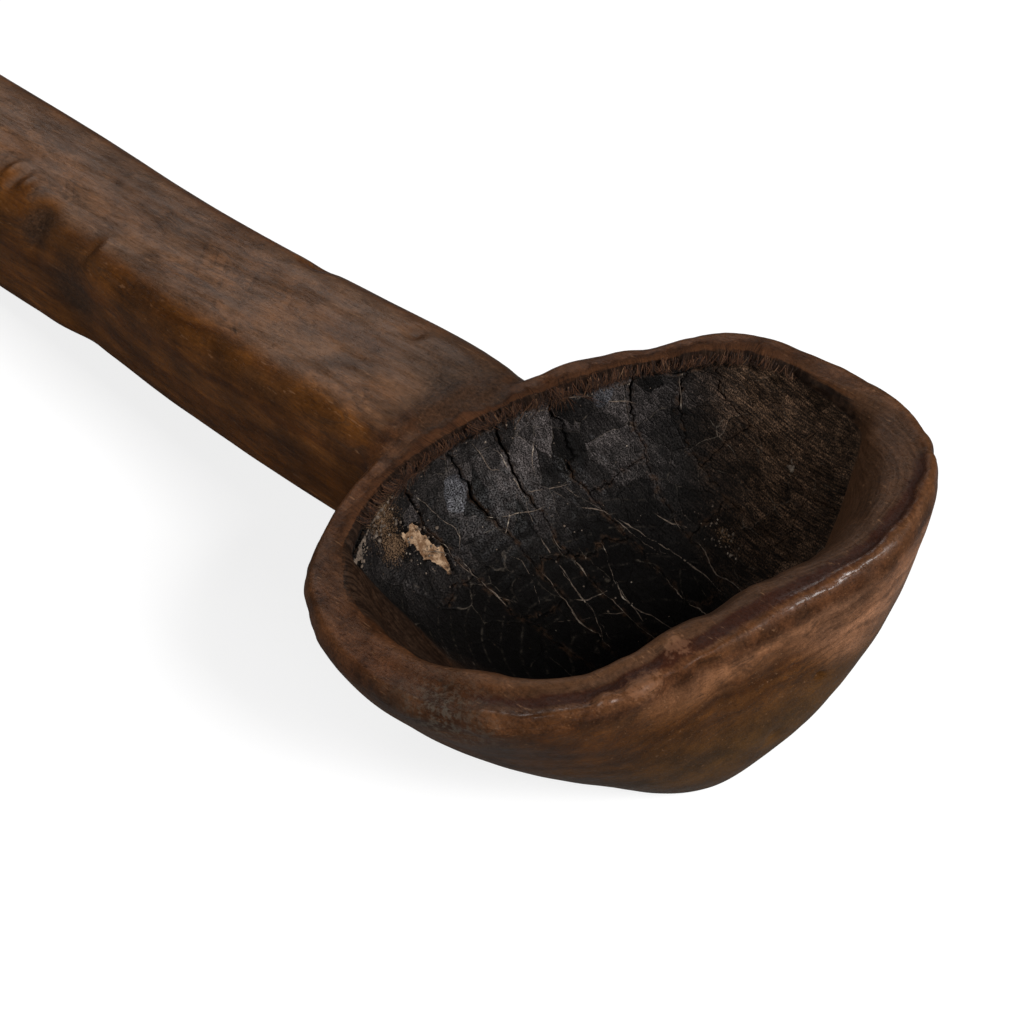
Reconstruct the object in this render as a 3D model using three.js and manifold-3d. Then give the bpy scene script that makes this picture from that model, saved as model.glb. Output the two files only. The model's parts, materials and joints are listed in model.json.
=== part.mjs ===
// A carved wooden ladle lying on a table, in millimetres.
// +X runs along the handle towards the front of the bowl, +Z is up and z = 0 is the table.
// The origin is the middle of the flat worn under the bowl.

import * as THREE from 'three';
import { LoftGeometry } from 'three/addons/geometries/LoftGeometry.js';
import { mergeVertices } from 'three/addons/utils/BufferGeometryUtils.js';
import Module from 'manifold-3d';

const wasm = await Module();
wasm.setup();

// The bowl. The ladle lies leaning back on its handle and rolled a little to the -Y side.
const RIM_HEIGHT = 60;
const LEAN = THREE.MathUtils.degToRad( 7 );
const ROLL = THREE.MathUtils.degToRad( 9 );
const FOOT_RADIUS = 18;
const FLOOR_HEIGHT = 12;
const LIP_DEPTH = 5;

// The hand-cut rim, one station every 22.5 degrees from the front, turning towards +Y:
// reach from the foot's axis, lift off the rim's plane, lip width, the share of it outside the lip's top,
// how deep the lip falls inside, its edge (square below 1, a ridge above), how full the wall below is,
// and how far up the inner wall the burnt crust goes.
const RIM_STATIONS = [
	{ reach: 41.8, lift: 0.0, lip: 14.0, crown: 0.22, bevel: 9.0, edge: 1.40, belly: 0.90, crust: 0.80 },
	{ reach: 50.3, lift: 0.3, lip: 16.0, crown: 0.21, bevel: 12.0, edge: 1.90, belly: 0.73, crust: 0.86 },
	{ reach: 57.2, lift: 2.4, lip: 16.5, crown: 0.12, bevel: 13.0, edge: 2.00, belly: 0.70, crust: 0.93 },
	{ reach: 59.2, lift: 0.8, lip: 11.0, crown: 0.26, bevel: 7.0, edge: 1.50, belly: 0.80, crust: 0.96 },
	{ reach: 58.5, lift: 0.0, lip: 8.0, crown: 0.42, bevel: 3.0, edge: 0.85, belly: 0.80, crust: 0.98 },
	{ reach: 61.5, lift: 0.5, lip: 8.0, crown: 0.45, bevel: 2.2, edge: 0.75, belly: 0.80, crust: 0.98 },
	{ reach: 60.5, lift: 0.5, lip: 8.0, crown: 0.48, bevel: 2.2, edge: 0.75, belly: 0.80, crust: 0.98 },
	{ reach: 62.5, lift: 0.0, lip: 8.0, crown: 0.50, bevel: 2.2, edge: 0.75, belly: 0.80, crust: 0.98 },
	{ reach: 68.0, lift: 0.0, lip: 8.0, crown: 0.50, bevel: 2.2, edge: 0.75, belly: 0.80, crust: 0.98 },
	{ reach: 74.0, lift: 0.0, lip: 7.5, crown: 0.46, bevel: 2.2, edge: 0.75, belly: 0.80, crust: 0.98 },
	{ reach: 77.0, lift: 0.0, lip: 8.5, crown: 0.42, bevel: 3.5, edge: 0.75, belly: 0.70, crust: 0.97 },
	{ reach: 72.5, lift: 0.0, lip: 11.5, crown: 0.38, bevel: 7.0, edge: 0.75, belly: 0.55, crust: 0.90 },
	{ reach: 65.5, lift: 0.0, lip: 13.5, crown: 0.34, bevel: 9.0, edge: 0.75, belly: 0.40, crust: 0.80 },
	{ reach: 56.5, lift: 0.0, lip: 14.0, crown: 0.30, bevel: 9.0, edge: 0.70, belly: 0.45, crust: 0.70 },
	{ reach: 46.0, lift: 0.0, lip: 14.0, crown: 0.28, bevel: 8.0, edge: 0.70, belly: 0.75, crust: 0.60 },
	{ reach: 40.5, lift: 0.0, lip: 14.0, crown: 0.26, bevel: 8.0, edge: 0.95, belly: 0.95, crust: 0.66 },
];

// The table under the whole ladle, which has worn it flat where it stands.
const GROUND = { length: 600, width: 200, depth: 20 };

// The handle from its far end to inside the bowl's wall: place along X, middle in Y,
// width, and the heights of its top and its underside. It swells at a knot and ends plain.
const HANDLE_STATIONS = [
	{ x: - 325, middle: 14.0, width: 41.0, top: 31.5, under: - 1.0 },
	{ x: - 290, middle: 13.0, width: 41.5, top: 34.0, under: 0.0 },
	{ x: - 250, middle: 11.5, width: 41.5, top: 37.5, under: 1.0 },
	{ x: - 215, middle: 10.0, width: 41.0, top: 40.0, under: 3.0 },
	{ x: - 185, middle: 8.5, width: 39.0, top: 42.5, under: 5.5 },
	{ x: - 150, middle: 6.0, width: 41.0, top: 45.5, under: 8.0 },
	{ x: - 110, middle: 4.5, width: 43.5, top: 49.5, under: 11.5 },
	{ x: - 75, middle: 3.5, width: 45.0, top: 52.5, under: 15.0 },
	{ x: - 40, middle: 2.0, width: 45.0, top: 49.0, under: 18.0 },
];
const HANDLE_END_LENGTH = 16;
const HANDLE_END_ROUNDNESS = 0.6;
const HANDLE_SQUARENESS = { top: 0.58, under: 0.62 };

// The burnt crust inside the bowl, split into plates by cracks that follow the grain from back to front
// and fan out up the back wall. Places in it are shares of the way up the inner wall, along the grain
// and across it, from the floor's middle. Cross cracks are shares of the way from back to front.
// The crust stops short of the front wall, which stayed bare.
const CRUST_THICKNESS = 1.2;
const CRUST_GAP = 0.4;
const CRUST_SPINE = { along: - 0.45, slant: 0.25 };
const CRUST_FRONT = 0.30;
const CRACK_WIDTH = 0.014;
const CRACK_WANDER = 0.014;
const CRACK_WAVES = 9;
const CRACK_SHIFT = 2.3;
const CRACK_FAN = 3;
const CRACK_LINES = [
	{ back: - 0.70, front: - 0.20 },
	{ back: - 0.30, front: - 0.10 },
	{ back: - 0.08, front: 0.00 },
	{ back: 0.09, front: 0.11 },
	{ back: 0.31, front: 0.25 },
	{ back: 0.62, front: 0.38 },
	{ back: 0.76, front: 0.53 },
	{ back: 0.86, front: 0.72 },
	{ back: 0.93, front: 0.92 },
];
const CROSS_CRACKS = [
	[ 0.36, 0.72 ],
	[ 0.50, 0.84 ],
	[ 0.40, 0.68 ],
	[ 0.43, 0.82 ],
	[ 0.29, 0.70 ],
	[ 0.54 ],
	[ 0.40, 0.78 ],
	[ 0.62 ],
];

// A flake of the crust has come away and left a bare spot.
const FLAKE = { along: - 0.67, across: - 0.25, length: 11, width: 6, turn: THREE.MathUtils.degToRad( 24 ) };

// How finely the surfaces are divided.
const AROUND = 72;
const WALL_STEPS = 12;
const LIP_STEPS = 6;
const HANDLE_STEPS = 26;
const HANDLE_AROUND = 28;
const END_STEPS = 4;
const PLATE_STEPS = { along: 7, across: 3 };
const WELD = 1e-4;

const wood = new THREE.MeshStandardMaterial( { color: 0x5d4029, roughness: 0.62, metalness: 0 } );
const crust = new THREE.MeshStandardMaterial( { color: 0x191614, roughness: 0.78, metalness: 0 } );

const GRAIN = new THREE.Vector3( 1, 0, 0 );
const mix = THREE.MathUtils.lerp;
const signedPower = ( value, power ) => Math.sign( value ) * Math.abs( value ) ** power;

// The stations as closed curves, each read by a turn from 0 to 1 round the bowl.
const crestLine = new THREE.CatmullRomCurve3( RIM_STATIONS.map( crestPoint ), true );
const lipTraits = new THREE.CatmullRomCurve3(
	RIM_STATIONS.map( ( { lip, crown, bevel } ) => new THREE.Vector3( lip, crown, bevel ) ), true );
const wallTraits = new THREE.CatmullRomCurve3(
	RIM_STATIONS.map( ( { belly, crust, edge } ) => new THREE.Vector3( belly, crust, edge ) ), true );

function crestPoint( { reach, lift }, index ) {

	const bearing = index / RIM_STATIONS.length * 2 * Math.PI;
	const x = reach * Math.cos( bearing );
	const y = reach * Math.sin( bearing );
	return new THREE.Vector3( x, y, RIM_HEIGHT + x * Math.tan( LEAN ) + y * Math.tan( ROLL ) + lift );

}

// One point of the lip. The angle runs from 0 at the outside, over the top, to pi at the inside.
function lipPoint( turn, angle ) {

	const crest = crestLine.getPoint( turn );
	const { x: width, y: crown, z: bevel } = lipTraits.getPoint( turn );
	const ridge = wallTraits.getPoint( turn ).z;
	const reach = Math.hypot( crest.x, crest.y );
	const outside = angle < Math.PI / 2;
	const edge = outside ? Math.min( ridge, 1 ) : ridge;
	const side = outside ? crown : 1 - crown;
	const depth = outside ? LIP_DEPTH : bevel;
	const inward = width * ( crown - side * signedPower( Math.cos( angle ), edge ) );
	const drop = depth * ( 1 - signedPower( Math.sin( angle ), edge ) );
	const share = ( reach - inward ) / reach;
	return new THREE.Vector3( crest.x * share, crest.y * share, crest.z - drop );

}

// One point of a wall that rises from a bottom ring to the lip, straight for belly 0 and round for belly 1.
function wallPoint( turn, share, bottomRadius, bottomHeight, lipAngle ) {

	const edge = lipPoint( turn, lipAngle );
	const belly = wallTraits.getPoint( turn ).x;
	const reach = Math.hypot( edge.x, edge.y );
	const outward = mix( share, Math.sin( share * Math.PI / 2 ), belly );
	const upward = mix( share, 1 - Math.cos( share * Math.PI / 2 ), belly );
	const radius = mix( bottomRadius, reach, outward ) / reach;
	return new THREE.Vector3( edge.x * radius, edge.y * radius, mix( bottomHeight, edge.z, upward ) );

}

const outerPoint = ( turn, share ) => wallPoint( turn, share, FOOT_RADIUS, 0, 0 );
const innerPoint = ( turn, share ) => wallPoint( turn, share, 0, FLOOR_HEIGHT, Math.PI );

function ringOf( pointAt ) {

	return Array.from( { length: AROUND }, ( _, i ) => pointAt( i / AROUND ) );

}

// The bowl as one skin: foot, outer wall, over the lip and down the inner wall to the floor's middle.
function bowlGeometry() {

	const rings = [];
	const shares = Array.from( { length: WALL_STEPS }, ( _, i ) => i / WALL_STEPS );
	for ( const share of shares ) rings.push( ringOf( turn => outerPoint( turn, share ) ) );
	for ( let i = 0; i <= LIP_STEPS; i ++ ) {

		const angle = i / LIP_STEPS * Math.PI;
		rings.push( ringOf( turn => lipPoint( turn, angle ) ) );

	}
	for ( const share of shares.reverse() ) rings.push( ringOf( turn => innerPoint( turn, share ) ) );
	return new LoftGeometry( rings, { capStart: true } );

}

// The hollow of the bowl, carried up past the rim, as a cutter.
function hollowGeometry() {

	const rings = [];
	for ( let i = 0; i <= WALL_STEPS; i ++ ) rings.push( ringOf( turn => innerPoint( turn, i / WALL_STEPS ) ) );
	rings.push( ringOf( turn => innerPoint( turn, 1 ).setZ( RIM_HEIGHT * 1.5 ) ) );
	return new LoftGeometry( rings, { capEnd: true } );

}

// A handle section: flat on top with a firm arris, a little rounder underneath, rolled with the ladle.
function handleSection( x, middle, halfWidth, top, under ) {

	const centre = new THREE.Vector3( 0, middle, ( top + under ) / 2 );
	const halfDepth = ( top - under ) / 2;
	return Array.from( { length: HANDLE_AROUND }, ( _, i ) => {

		const angle = i / HANDLE_AROUND * 2 * Math.PI;
		const power = Math.sin( angle ) > 0 ? HANDLE_SQUARENESS.top : HANDLE_SQUARENESS.under;
		const across = halfWidth * signedPower( Math.cos( angle ), power );
		const rise = halfDepth * signedPower( Math.sin( angle ), power );
		return new THREE.Vector3( x, across, rise ).applyAxisAngle( GRAIN, ROLL ).add( centre );

	} );

}

// The sections that round off the handle's far end, from a point to the first full one.
function handleEndSections() {

	const { x, middle, width, top, under } = HANDLE_STATIONS[ 0 ];
	const height = ( top + under ) / 2;
	return Array.from( { length: END_STEPS }, ( _, i ) => {

		const angle = i / END_STEPS * Math.PI / 2;
		const size = Math.sin( angle ) ** HANDLE_END_ROUNDNESS;
		return handleSection( x - HANDLE_END_LENGTH * Math.cos( angle ), middle, width / 2 * size,
			mix( height, top, size ), mix( height, under, size ) );

	} );

}

function handleGeometry() {

	const widths = new THREE.CatmullRomCurve3(
		HANDLE_STATIONS.map( ( { x, middle, width } ) => new THREE.Vector3( x, middle, width / 2 ) ) );
	const heights = new THREE.CatmullRomCurve3(
		HANDLE_STATIONS.map( ( { x, top, under } ) => new THREE.Vector3( x, top, under ) ) );
	const sections = handleEndSections();
	for ( let i = 0; i <= HANDLE_STEPS; i ++ ) {

		const { x, y: middle, z: halfWidth } = widths.getPoint( i / HANDLE_STEPS );
		const { y: top, z: under } = heights.getPoint( i / HANDLE_STEPS );
		sections.push( handleSection( x, middle, halfWidth, top, under ) );

	}
	return new LoftGeometry( sections, { capEnd: true } );

}

// Bowl and handle, cut from one billet and worn flat where they stand.
function carvedBody() {

	const { length, width, depth } = GROUND;
	const ground = new THREE.BoxGeometry( length, width, depth ).translate( - length / 4, 0, - depth / 2 );
	const handle = solidOf( handleGeometry() ).subtract( solidOf( hollowGeometry() ) );
	const body = solidOf( bowlGeometry() ).add( handle ).subtract( solidOf( ground ) );
	return named( 'carved_body', body, wood );

}

const turnOf = ( along, across ) => ( Math.atan2( across, along ) / ( 2 * Math.PI ) + 1 ) % 1;

// A point of the crust at a place along and across the grain, a depth off the wood.
function crustPoint( along, across, depth ) {

	const place = ( a, b ) => innerPoint( turnOf( a, b ), Math.hypot( a, b ) );
	const step = 0.02;
	const alongSlope = place( along + step, across ).sub( place( along - step, across ) );
	const acrossSlope = place( along, across + step ).sub( place( along, across - step ) );
	const normal = alongSlope.cross( acrossSlope ).normalize();
	return place( along, across ).addScaledVector( normal, depth );

}

// How far the crust goes along the grain at one place across it: back for side -1, forward for side 1.
function crustReach( across, side ) {

	let inside = CRUST_SPINE.along + CRUST_SPINE.slant * across;
	let outside = side;
	for ( let i = 0; i < 30; i ++ ) {

		const middle = ( inside + outside ) / 2;
		const covered = Math.hypot( middle, across ) < wallTraits.getPoint( turnOf( middle, across ) ).y;
		if ( covered ) inside = middle;
		else outside = middle;

	}
	return Math.min( inside, CRUST_FRONT );

}

// One plate of the crust, between two cracks along the grain and two breaks across it.
function plateGeometry( leftCrack, rightCrack, start, end ) {

	const { along: alongSteps, across: acrossSteps } = PLATE_STEPS;
	const pointAt = ( share, sideways, depth ) => {

		const across = mix( leftCrack( share ), rightCrack( share ), sideways );
		return crustPoint( mix( crustReach( across, - 1 ), crustReach( across, 1 ), share ), across, depth );

	};
	const sections = [];
	for ( let i = 0; i <= alongSteps; i ++ ) {

		const share = mix( start, end, i / alongSteps );
		const section = [];
		for ( let j = 0; j <= acrossSteps; j ++ ) section.push( pointAt( share, j / acrossSteps, CRUST_GAP ) );
		for ( let j = acrossSteps; j >= 0; j -- ) {

			section.push( pointAt( share, j / acrossSteps, CRUST_GAP + CRUST_THICKNESS ) );

		}
		sections.push( section );

	}
	return new LoftGeometry( sections, { capStart: true, capEnd: true } );

}

// The bare spot, as a cutter.
function flakeGeometry() {

	const { along, across, length, width, turn } = FLAKE;
	const place = crustPoint( along, across, CRUST_GAP );
	return new THREE.SphereGeometry( 0.5, 20, 10 ).scale( length, width, length )
		.rotateZ( turn ).translate( place.x, place.y, place.z );

}

// All plates, strip by strip from -Y to +Y, and in each strip from the handle's side to the front.
function crustPlates() {

	const plates = [];
	const flake = solidOf( flakeGeometry() );
	const half = CRACK_WIDTH / 2;
	const crack = ( line, side ) => share => {

		const { back, front } = CRACK_LINES[ line ];
		const wander = CRACK_WANDER * Math.sin( CRACK_WAVES * share + CRACK_SHIFT * line );
		return mix( front, back, ( 1 - share ) ** CRACK_FAN ) + wander + side * half;

	};
	for ( const [ strip, crossCracks ] of CROSS_CRACKS.entries() ) {

		const breaks = [ - half, ...crossCracks, 1 + half ];
		for ( let i = 0; i < breaks.length - 1; i ++ ) {

			const plate = solidOf( plateGeometry( crack( strip, 1 ), crack( strip + 1, - 1 ),
				breaks[ i ] + half, breaks[ i + 1 ] - half ) );
			const number = String( plates.length + 1 ).padStart( 2, '0' );
			plates.push( named( `crust_plate_${ number }`, plate.subtract( flake ), crust ) );

		}

	}
	return plates;

}

// A closed solid from a geometry, welded and without the triangles that a pole collapses.
function solidOf( geometry ) {

	const bare = new THREE.BufferGeometry();
	bare.setIndex( geometry.index );
	bare.setAttribute( 'position', geometry.attributes.position );
	const welded = mergeVertices( bare, WELD );
	const index = welded.index.array;
	const corners = [];
	for ( let i = 0; i < index.length; i += 3 ) {

		const [ a, b, c ] = index.slice( i, i + 3 );
		if ( a !== b && b !== c && c !== a ) corners.push( a, b, c );

	}
	return new wasm.Manifold( new wasm.Mesh( {
		numProp: 3,
		vertProperties: new Float32Array( welded.attributes.position.array ),
		triVerts: Uint32Array.from( corners ),
	} ) );

}

function named( name, solid, material ) {

	const { vertProperties, triVerts } = solid.getMesh();
	const geometry = new THREE.BufferGeometry();
	geometry.setAttribute( 'position', new THREE.BufferAttribute( vertProperties, 3 ) );
	geometry.setIndex( new THREE.BufferAttribute( triVerts, 1 ) );
	geometry.computeVertexNormals();
	const mesh = new THREE.Mesh( geometry, material );
	mesh.name = name;
	return mesh;

}

const ladle = new THREE.Group();
ladle.name = 'wooden_ladle';
ladle.add( carvedBody(), ...crustPlates() );

export default ladle;
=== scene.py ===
# %% [markdown]
# # A hewn wooden ladle with a burnt bowl
# The real ladle is one billet of brown wood: a thick handle that runs into a deep, leaning bowl.
# Years of cooking left a black, cracked crust inside the bowl, and hands have polished handle and rim.
# The solids come from the frame. This lesson dresses them: it rebuilds the same surfaces finely enough
# to carry tool marks, dents and cracks, and gives each a finish made from shader nodes.

# %% Load the frame
import functools
import json
import math
import bpy
import numpy as np
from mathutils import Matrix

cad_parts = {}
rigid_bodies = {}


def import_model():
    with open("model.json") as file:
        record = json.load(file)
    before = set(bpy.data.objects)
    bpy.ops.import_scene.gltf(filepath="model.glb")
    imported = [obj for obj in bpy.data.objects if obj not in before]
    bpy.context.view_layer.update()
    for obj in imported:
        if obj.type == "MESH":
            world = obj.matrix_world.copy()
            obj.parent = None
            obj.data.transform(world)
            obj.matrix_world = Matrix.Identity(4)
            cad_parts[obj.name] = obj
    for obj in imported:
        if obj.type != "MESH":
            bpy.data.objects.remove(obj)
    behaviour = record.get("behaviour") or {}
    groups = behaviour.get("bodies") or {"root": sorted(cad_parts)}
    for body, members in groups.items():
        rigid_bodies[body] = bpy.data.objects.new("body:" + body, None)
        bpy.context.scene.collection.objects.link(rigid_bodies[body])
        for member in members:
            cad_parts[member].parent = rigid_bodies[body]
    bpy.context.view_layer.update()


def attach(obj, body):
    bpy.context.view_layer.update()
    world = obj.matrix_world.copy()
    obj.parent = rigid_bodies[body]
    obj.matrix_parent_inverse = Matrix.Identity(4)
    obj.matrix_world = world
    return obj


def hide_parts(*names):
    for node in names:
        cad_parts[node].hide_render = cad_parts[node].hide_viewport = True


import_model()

# %% [markdown]
# ## Reading smooth curves
# The rim was cut by eye, so it is given as sixteen stations with a smooth curve through them.
# A spline object could do this, but a plain formula on arrays answers thousands of questions at once.
# Its knots are spaced by the square root of their distance, so it never loops between close stations.

# %% Curves through stations
MM = 0.001
NEAR = 1e-4


def curve(stations, place, closed):
    """A smooth curve through the stations, read at places from 0 to 1.
    Each span is the cubic that leaves and meets its two stations with the slopes that their neighbours set,
    where the time between two stations is the square root of their distance."""
    if closed:
        knots = np.concatenate([stations[-1:], stations, stations[:2]])
    else:
        before, after = 2 * stations[:1] - stations[1:2], 2 * stations[-1:] - stations[-2:-1]
        knots = np.concatenate([before, stations, after])
    spans = len(stations) if closed else len(stations) - 1
    where = np.asarray(place, float) * spans
    where = where % spans if closed else where
    span = np.clip(where.astype(int), 0, spans - 1)
    f = (where - span)[..., None]
    a, b, c, d = (knots[span + k] for k in range(4))
    ab, bc, cd = (np.sqrt(np.linalg.norm(q - p, axis=-1, keepdims=True)) for p, q in ((a, b), (b, c), (c, d)))
    bc = np.where(bc < NEAR, 1.0, bc)
    ab, cd = np.where(ab < NEAR, bc, ab), np.where(cd < NEAR, bc, cd)
    leave = ((b - a) / ab - (c - a) / (ab + bc) + (c - b) / bc) * bc
    meet = ((c - b) / bc - (d - b) / (bc + cd) + (d - c) / cd) * bc
    return b + f * leave + f**2 * (3 * (c - b) - 2 * leave - meet) + f**3 * (2 * (b - c) + leave + meet)


def signed_power(value, power):
    """The value's size raised to the power, with its sign kept."""
    return np.sign(value) * np.abs(value) ** power


def ease(low, high, value):
    """0 below low, 1 above high, and the smooth step 3t^2 - 2t^3 between."""
    t = np.clip((value - low) / (high - low), 0, 1)
    return t * t * (3 - 2 * t)


def within(band, value):
    """A soft window: 0 outside the outer two of the band's four limits, and 1 between the inner two."""
    return ease(band[0], band[1], value) * ease(band[3], band[2], value)


def mix(first, second, share):
    """The straight blend from first at share 0 to second at share 1."""
    return first + (second - first) * share


# %% [markdown]
# ## Noise as arrays
# Hand work and burning leave no two spots alike. The built-in noise answers one point per call,
# so this one is written for whole arrays: a random value on every corner of a lattice, blended smoothly.

# %% Lattice noise
HASH = np.array([73856093, 19349663, 83492791], np.int64)
SEED_STEP, SCRAMBLE = 2654435761, 1274126177


def corner_value(cell, seed):
    """A fixed random value from -1 to 1 for every lattice corner, from its whole-number address."""
    key = (cell * HASH).sum(axis=-1) + seed * SEED_STEP
    key = (key ^ (key >> 13)) * SCRAMBLE
    key = key ^ (key >> 16)
    return (key & 0xFFFF) / 32767.5 - 1


def noise(points, size, seed):
    """Value noise from -1 to 1: a point takes the blend of its cell's eight corners,
    each weighted by the smooth step 6f^5 - 15f^4 + 10f^3 along the three axes."""
    place = np.asarray(points, float) / np.asarray(size, float)
    cell = np.floor(place).astype(np.int64)
    f = place - cell
    f = f**3 * (f * (f * 6 - 15) + 10)
    total = np.zeros(place.shape[:-1])
    for corner in np.ndindex(2, 2, 2):
        weight = np.where(corner, f, 1 - f).prod(axis=-1)
        total += weight * corner_value(cell + np.array(corner), seed)
    return total


def line_noise(place, size, seed):
    """Noise along one line: the lattice noise read on points that lie on the X axis."""
    place = np.asarray(place, float)
    return noise(np.stack([place, np.zeros_like(place), np.zeros_like(place)], -1), size, seed)


print("noise reads", np.round(line_noise(np.arange(4) * 0.7, 1.0, 1), 3).tolist())

# %% [markdown]
# ## The bowl's surface
# The bowl stands on a worn flat. Its rim leans back towards the handle and rolls to one side,
# its lip is a soft square round, and its walls swell between foot and lip.
# One function of two parameters gives it all: the turn round the bowl, and the way up the wall.

# %% Bowl numbers, in millimetres
TAU = 2 * np.pi
LEAN, ROLL = np.radians(7.0), np.radians(9.0)
RIM_HEIGHT = 60.0
FOOT_RADIUS = 18.0
FLOOR_HEIGHT = 12.0
LIP_DEPTH = 5.0
RIM_REACH = np.array([41.8, 50.3, 57.2, 59.2, 58.5, 61.5, 60.5, 62.5, 68, 74, 77, 72.5, 65.5, 56.5, 46, 40.5])
RIM_LIFT = np.array([0, 0.3, 2.4, 0.8, 0, 0.5, 0.5, 0, 0, 0, 0, 0, 0, 0, 0, 0])
LIP_WIDTH = np.array([14, 16, 16.5, 11, 8, 8, 8, 8, 8, 7.5, 8.5, 11.5, 13.5, 14, 14, 14])
LIP_CROWN = np.array([22, 21, 12, 26, 42, 45, 48, 50, 50, 46, 42, 38, 34, 30, 28, 26]) / 100
LIP_BEVEL = np.array([9, 12, 13, 7, 3, 2.2, 2.2, 2.2, 2.2, 2.2, 3.5, 7, 9, 9, 8, 8])
LIP_EDGE = np.array([140, 190, 200, 150, 85, 75, 75, 75, 75, 75, 75, 75, 75, 70, 70, 95]) / 100
BELLY = np.array([90, 73, 70, 80, 80, 80, 80, 80, 80, 80, 70, 55, 40, 45, 75, 95]) / 100
CRUST_TOP = np.array([80, 86, 93, 96, 98, 98, 98, 98, 98, 98, 97, 90, 80, 70, 60, 66]) / 100

bearing = np.arange(16) / 16 * TAU
rim_x, rim_y = RIM_REACH * np.cos(bearing), RIM_REACH * np.sin(bearing)
rim_z = RIM_HEIGHT + rim_x * np.tan(LEAN) + rim_y * np.tan(ROLL) + RIM_LIFT
CREST = np.stack([rim_x, rim_y, rim_z], -1)
LIP_TRAITS = np.stack([LIP_WIDTH, LIP_CROWN, LIP_BEVEL], -1)
WALL_TRAITS = np.stack([BELLY, CRUST_TOP, LIP_EDGE], -1)
print("rim stations:", len(CREST), "highest", round(rim_z.max(), 1), "lowest", round(rim_z.min(), 1))

# %% Bowl surface


def from_axis(points):
    """How far points are from the bowl's axis."""
    return np.hypot(points[..., 0], points[..., 1])


def turn_at(x, y):
    """The turn round the bowl, from 0 to 1, of a place along X and Y or along and across the grain."""
    return (np.arctan2(y, x) / TAU) % 1.0


def front_share(turn):
    """1 round the front, where the rim is a crisp ridge, and 0 round the back, where it is a round lip."""
    turn = np.asarray(turn) % 1.0
    return np.maximum(ease(0.19, 0.09, turn), ease(0.70, 0.82, turn))


def lip_point(turn, angle):
    """The lip: from the rim's outer edge up to its crown and down inside, each a quarter squared ellipse.
    The angle runs from 0 at the outside, over the crown, to pi at the inside."""
    crest = curve(CREST, turn, True)
    width, crown, bevel = np.moveaxis(curve(LIP_TRAITS, turn, True), -1, 0)
    reach = from_axis(crest)
    outside = np.asarray(angle) < np.pi / 2
    side, depth = np.where(outside, crown, 1 - crown), np.where(outside, LIP_DEPTH, bevel)
    ridge = curve(WALL_TRAITS, turn, True)[..., 2]
    power = np.where(outside, np.minimum(ridge, 1), ridge)
    inward = width * (crown - side * signed_power(np.cos(angle), power))
    drop = depth * (1 - signed_power(np.sin(angle), power))
    share = (reach - inward) / reach
    return np.stack([crest[..., 0] * share, crest[..., 1] * share, crest[..., 2] - drop], -1)


def wall_sweep(share, belly):
    """How far out and how far up a wall has come: straight for belly 0, a quarter round for belly 1."""
    out = mix(share, np.sin(share * np.pi / 2), belly)
    up = mix(share, 1 - np.cos(share * np.pi / 2), belly)
    return out, up


def wall_point(turn, share, bottom_radius, bottom_height, lip_angle):
    """A wall that sweeps from a bottom ring to the lip's edge."""
    edge = lip_point(turn, lip_angle)
    out, up = wall_sweep(share, curve(WALL_TRAITS, turn, True)[..., 0])
    reach = from_axis(edge)
    scale = mix(bottom_radius, reach, out) / reach
    height = mix(bottom_height, edge[..., 2], up)
    return np.stack([edge[..., 0] * scale, edge[..., 1] * scale, height], -1)


def inner_point(turn, share):
    """The inner wall, from the floor's middle at share 0 to the lip's inner edge at share 1."""
    return wall_point(turn, share, 0.0, FLOOR_HEIGHT, np.pi)


def bowl_skin(around, up, over):
    """The bowl as rings of points: from the foot's middle up the outside, over the lip and down inside."""
    turn = np.broadcast_to(np.arange(around) / around, (up, around))
    share = np.broadcast_to(np.linspace(0, 1, up)[:, None], (up, around))
    angle = np.broadcast_to(np.linspace(0, np.pi, over)[:, None], (over, around))
    outer = wall_point(turn, share, FOOT_RADIUS, 0.0, 0.0)[:-1]
    lip = lip_point(np.broadcast_to(turn[:1], (over, around)), angle)
    inner = inner_point(turn, share)[-2::-1]
    return np.concatenate([np.zeros_like(outer[:1]), outer, lip, inner])


bowl = bowl_skin(around=320, up=80, over=26)
print("bowl skin:", bowl.shape, "lowest", bowl[..., 2].min().round(2), "highest", bowl[..., 2].max().round(2))

# %% [markdown]
# ## The handle's surface
# The handle is a flat-topped bar with soft arrises, a little rounder underneath, that swells at a knot.
# A squared ellipse makes such a section, and the section is carried along the handle.
# Its inner end is pushed out of the hollow into the bowl's wall, so that nothing of it shows inside.

# %% Handle numbers and loft
HANDLE_X = np.array([-325, -290, -250, -215, -185, -150, -110, -75, -40.0])
HANDLE_MIDDLE = np.array([14, 13, 11.5, 10, 8.5, 6, 4.5, 3.5, 2])
HANDLE_WIDTH = np.array([41, 41.5, 41.5, 41, 39, 41, 43.5, 45, 45])
HANDLE_TOP = np.array([31.5, 34, 37.5, 40, 42.5, 45.5, 49.5, 52.5, 49])
HANDLE_UNDER = np.array([-1, 0, 1, 3, 5.5, 8, 11.5, 15, 18])
END_LENGTH, END_ROUNDNESS = 16.0, 0.6
TOP_SQUARENESS, UNDER_SQUARENESS = 0.47, 0.60
WALL_BITE = 3.0
HALVINGS = 24


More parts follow.
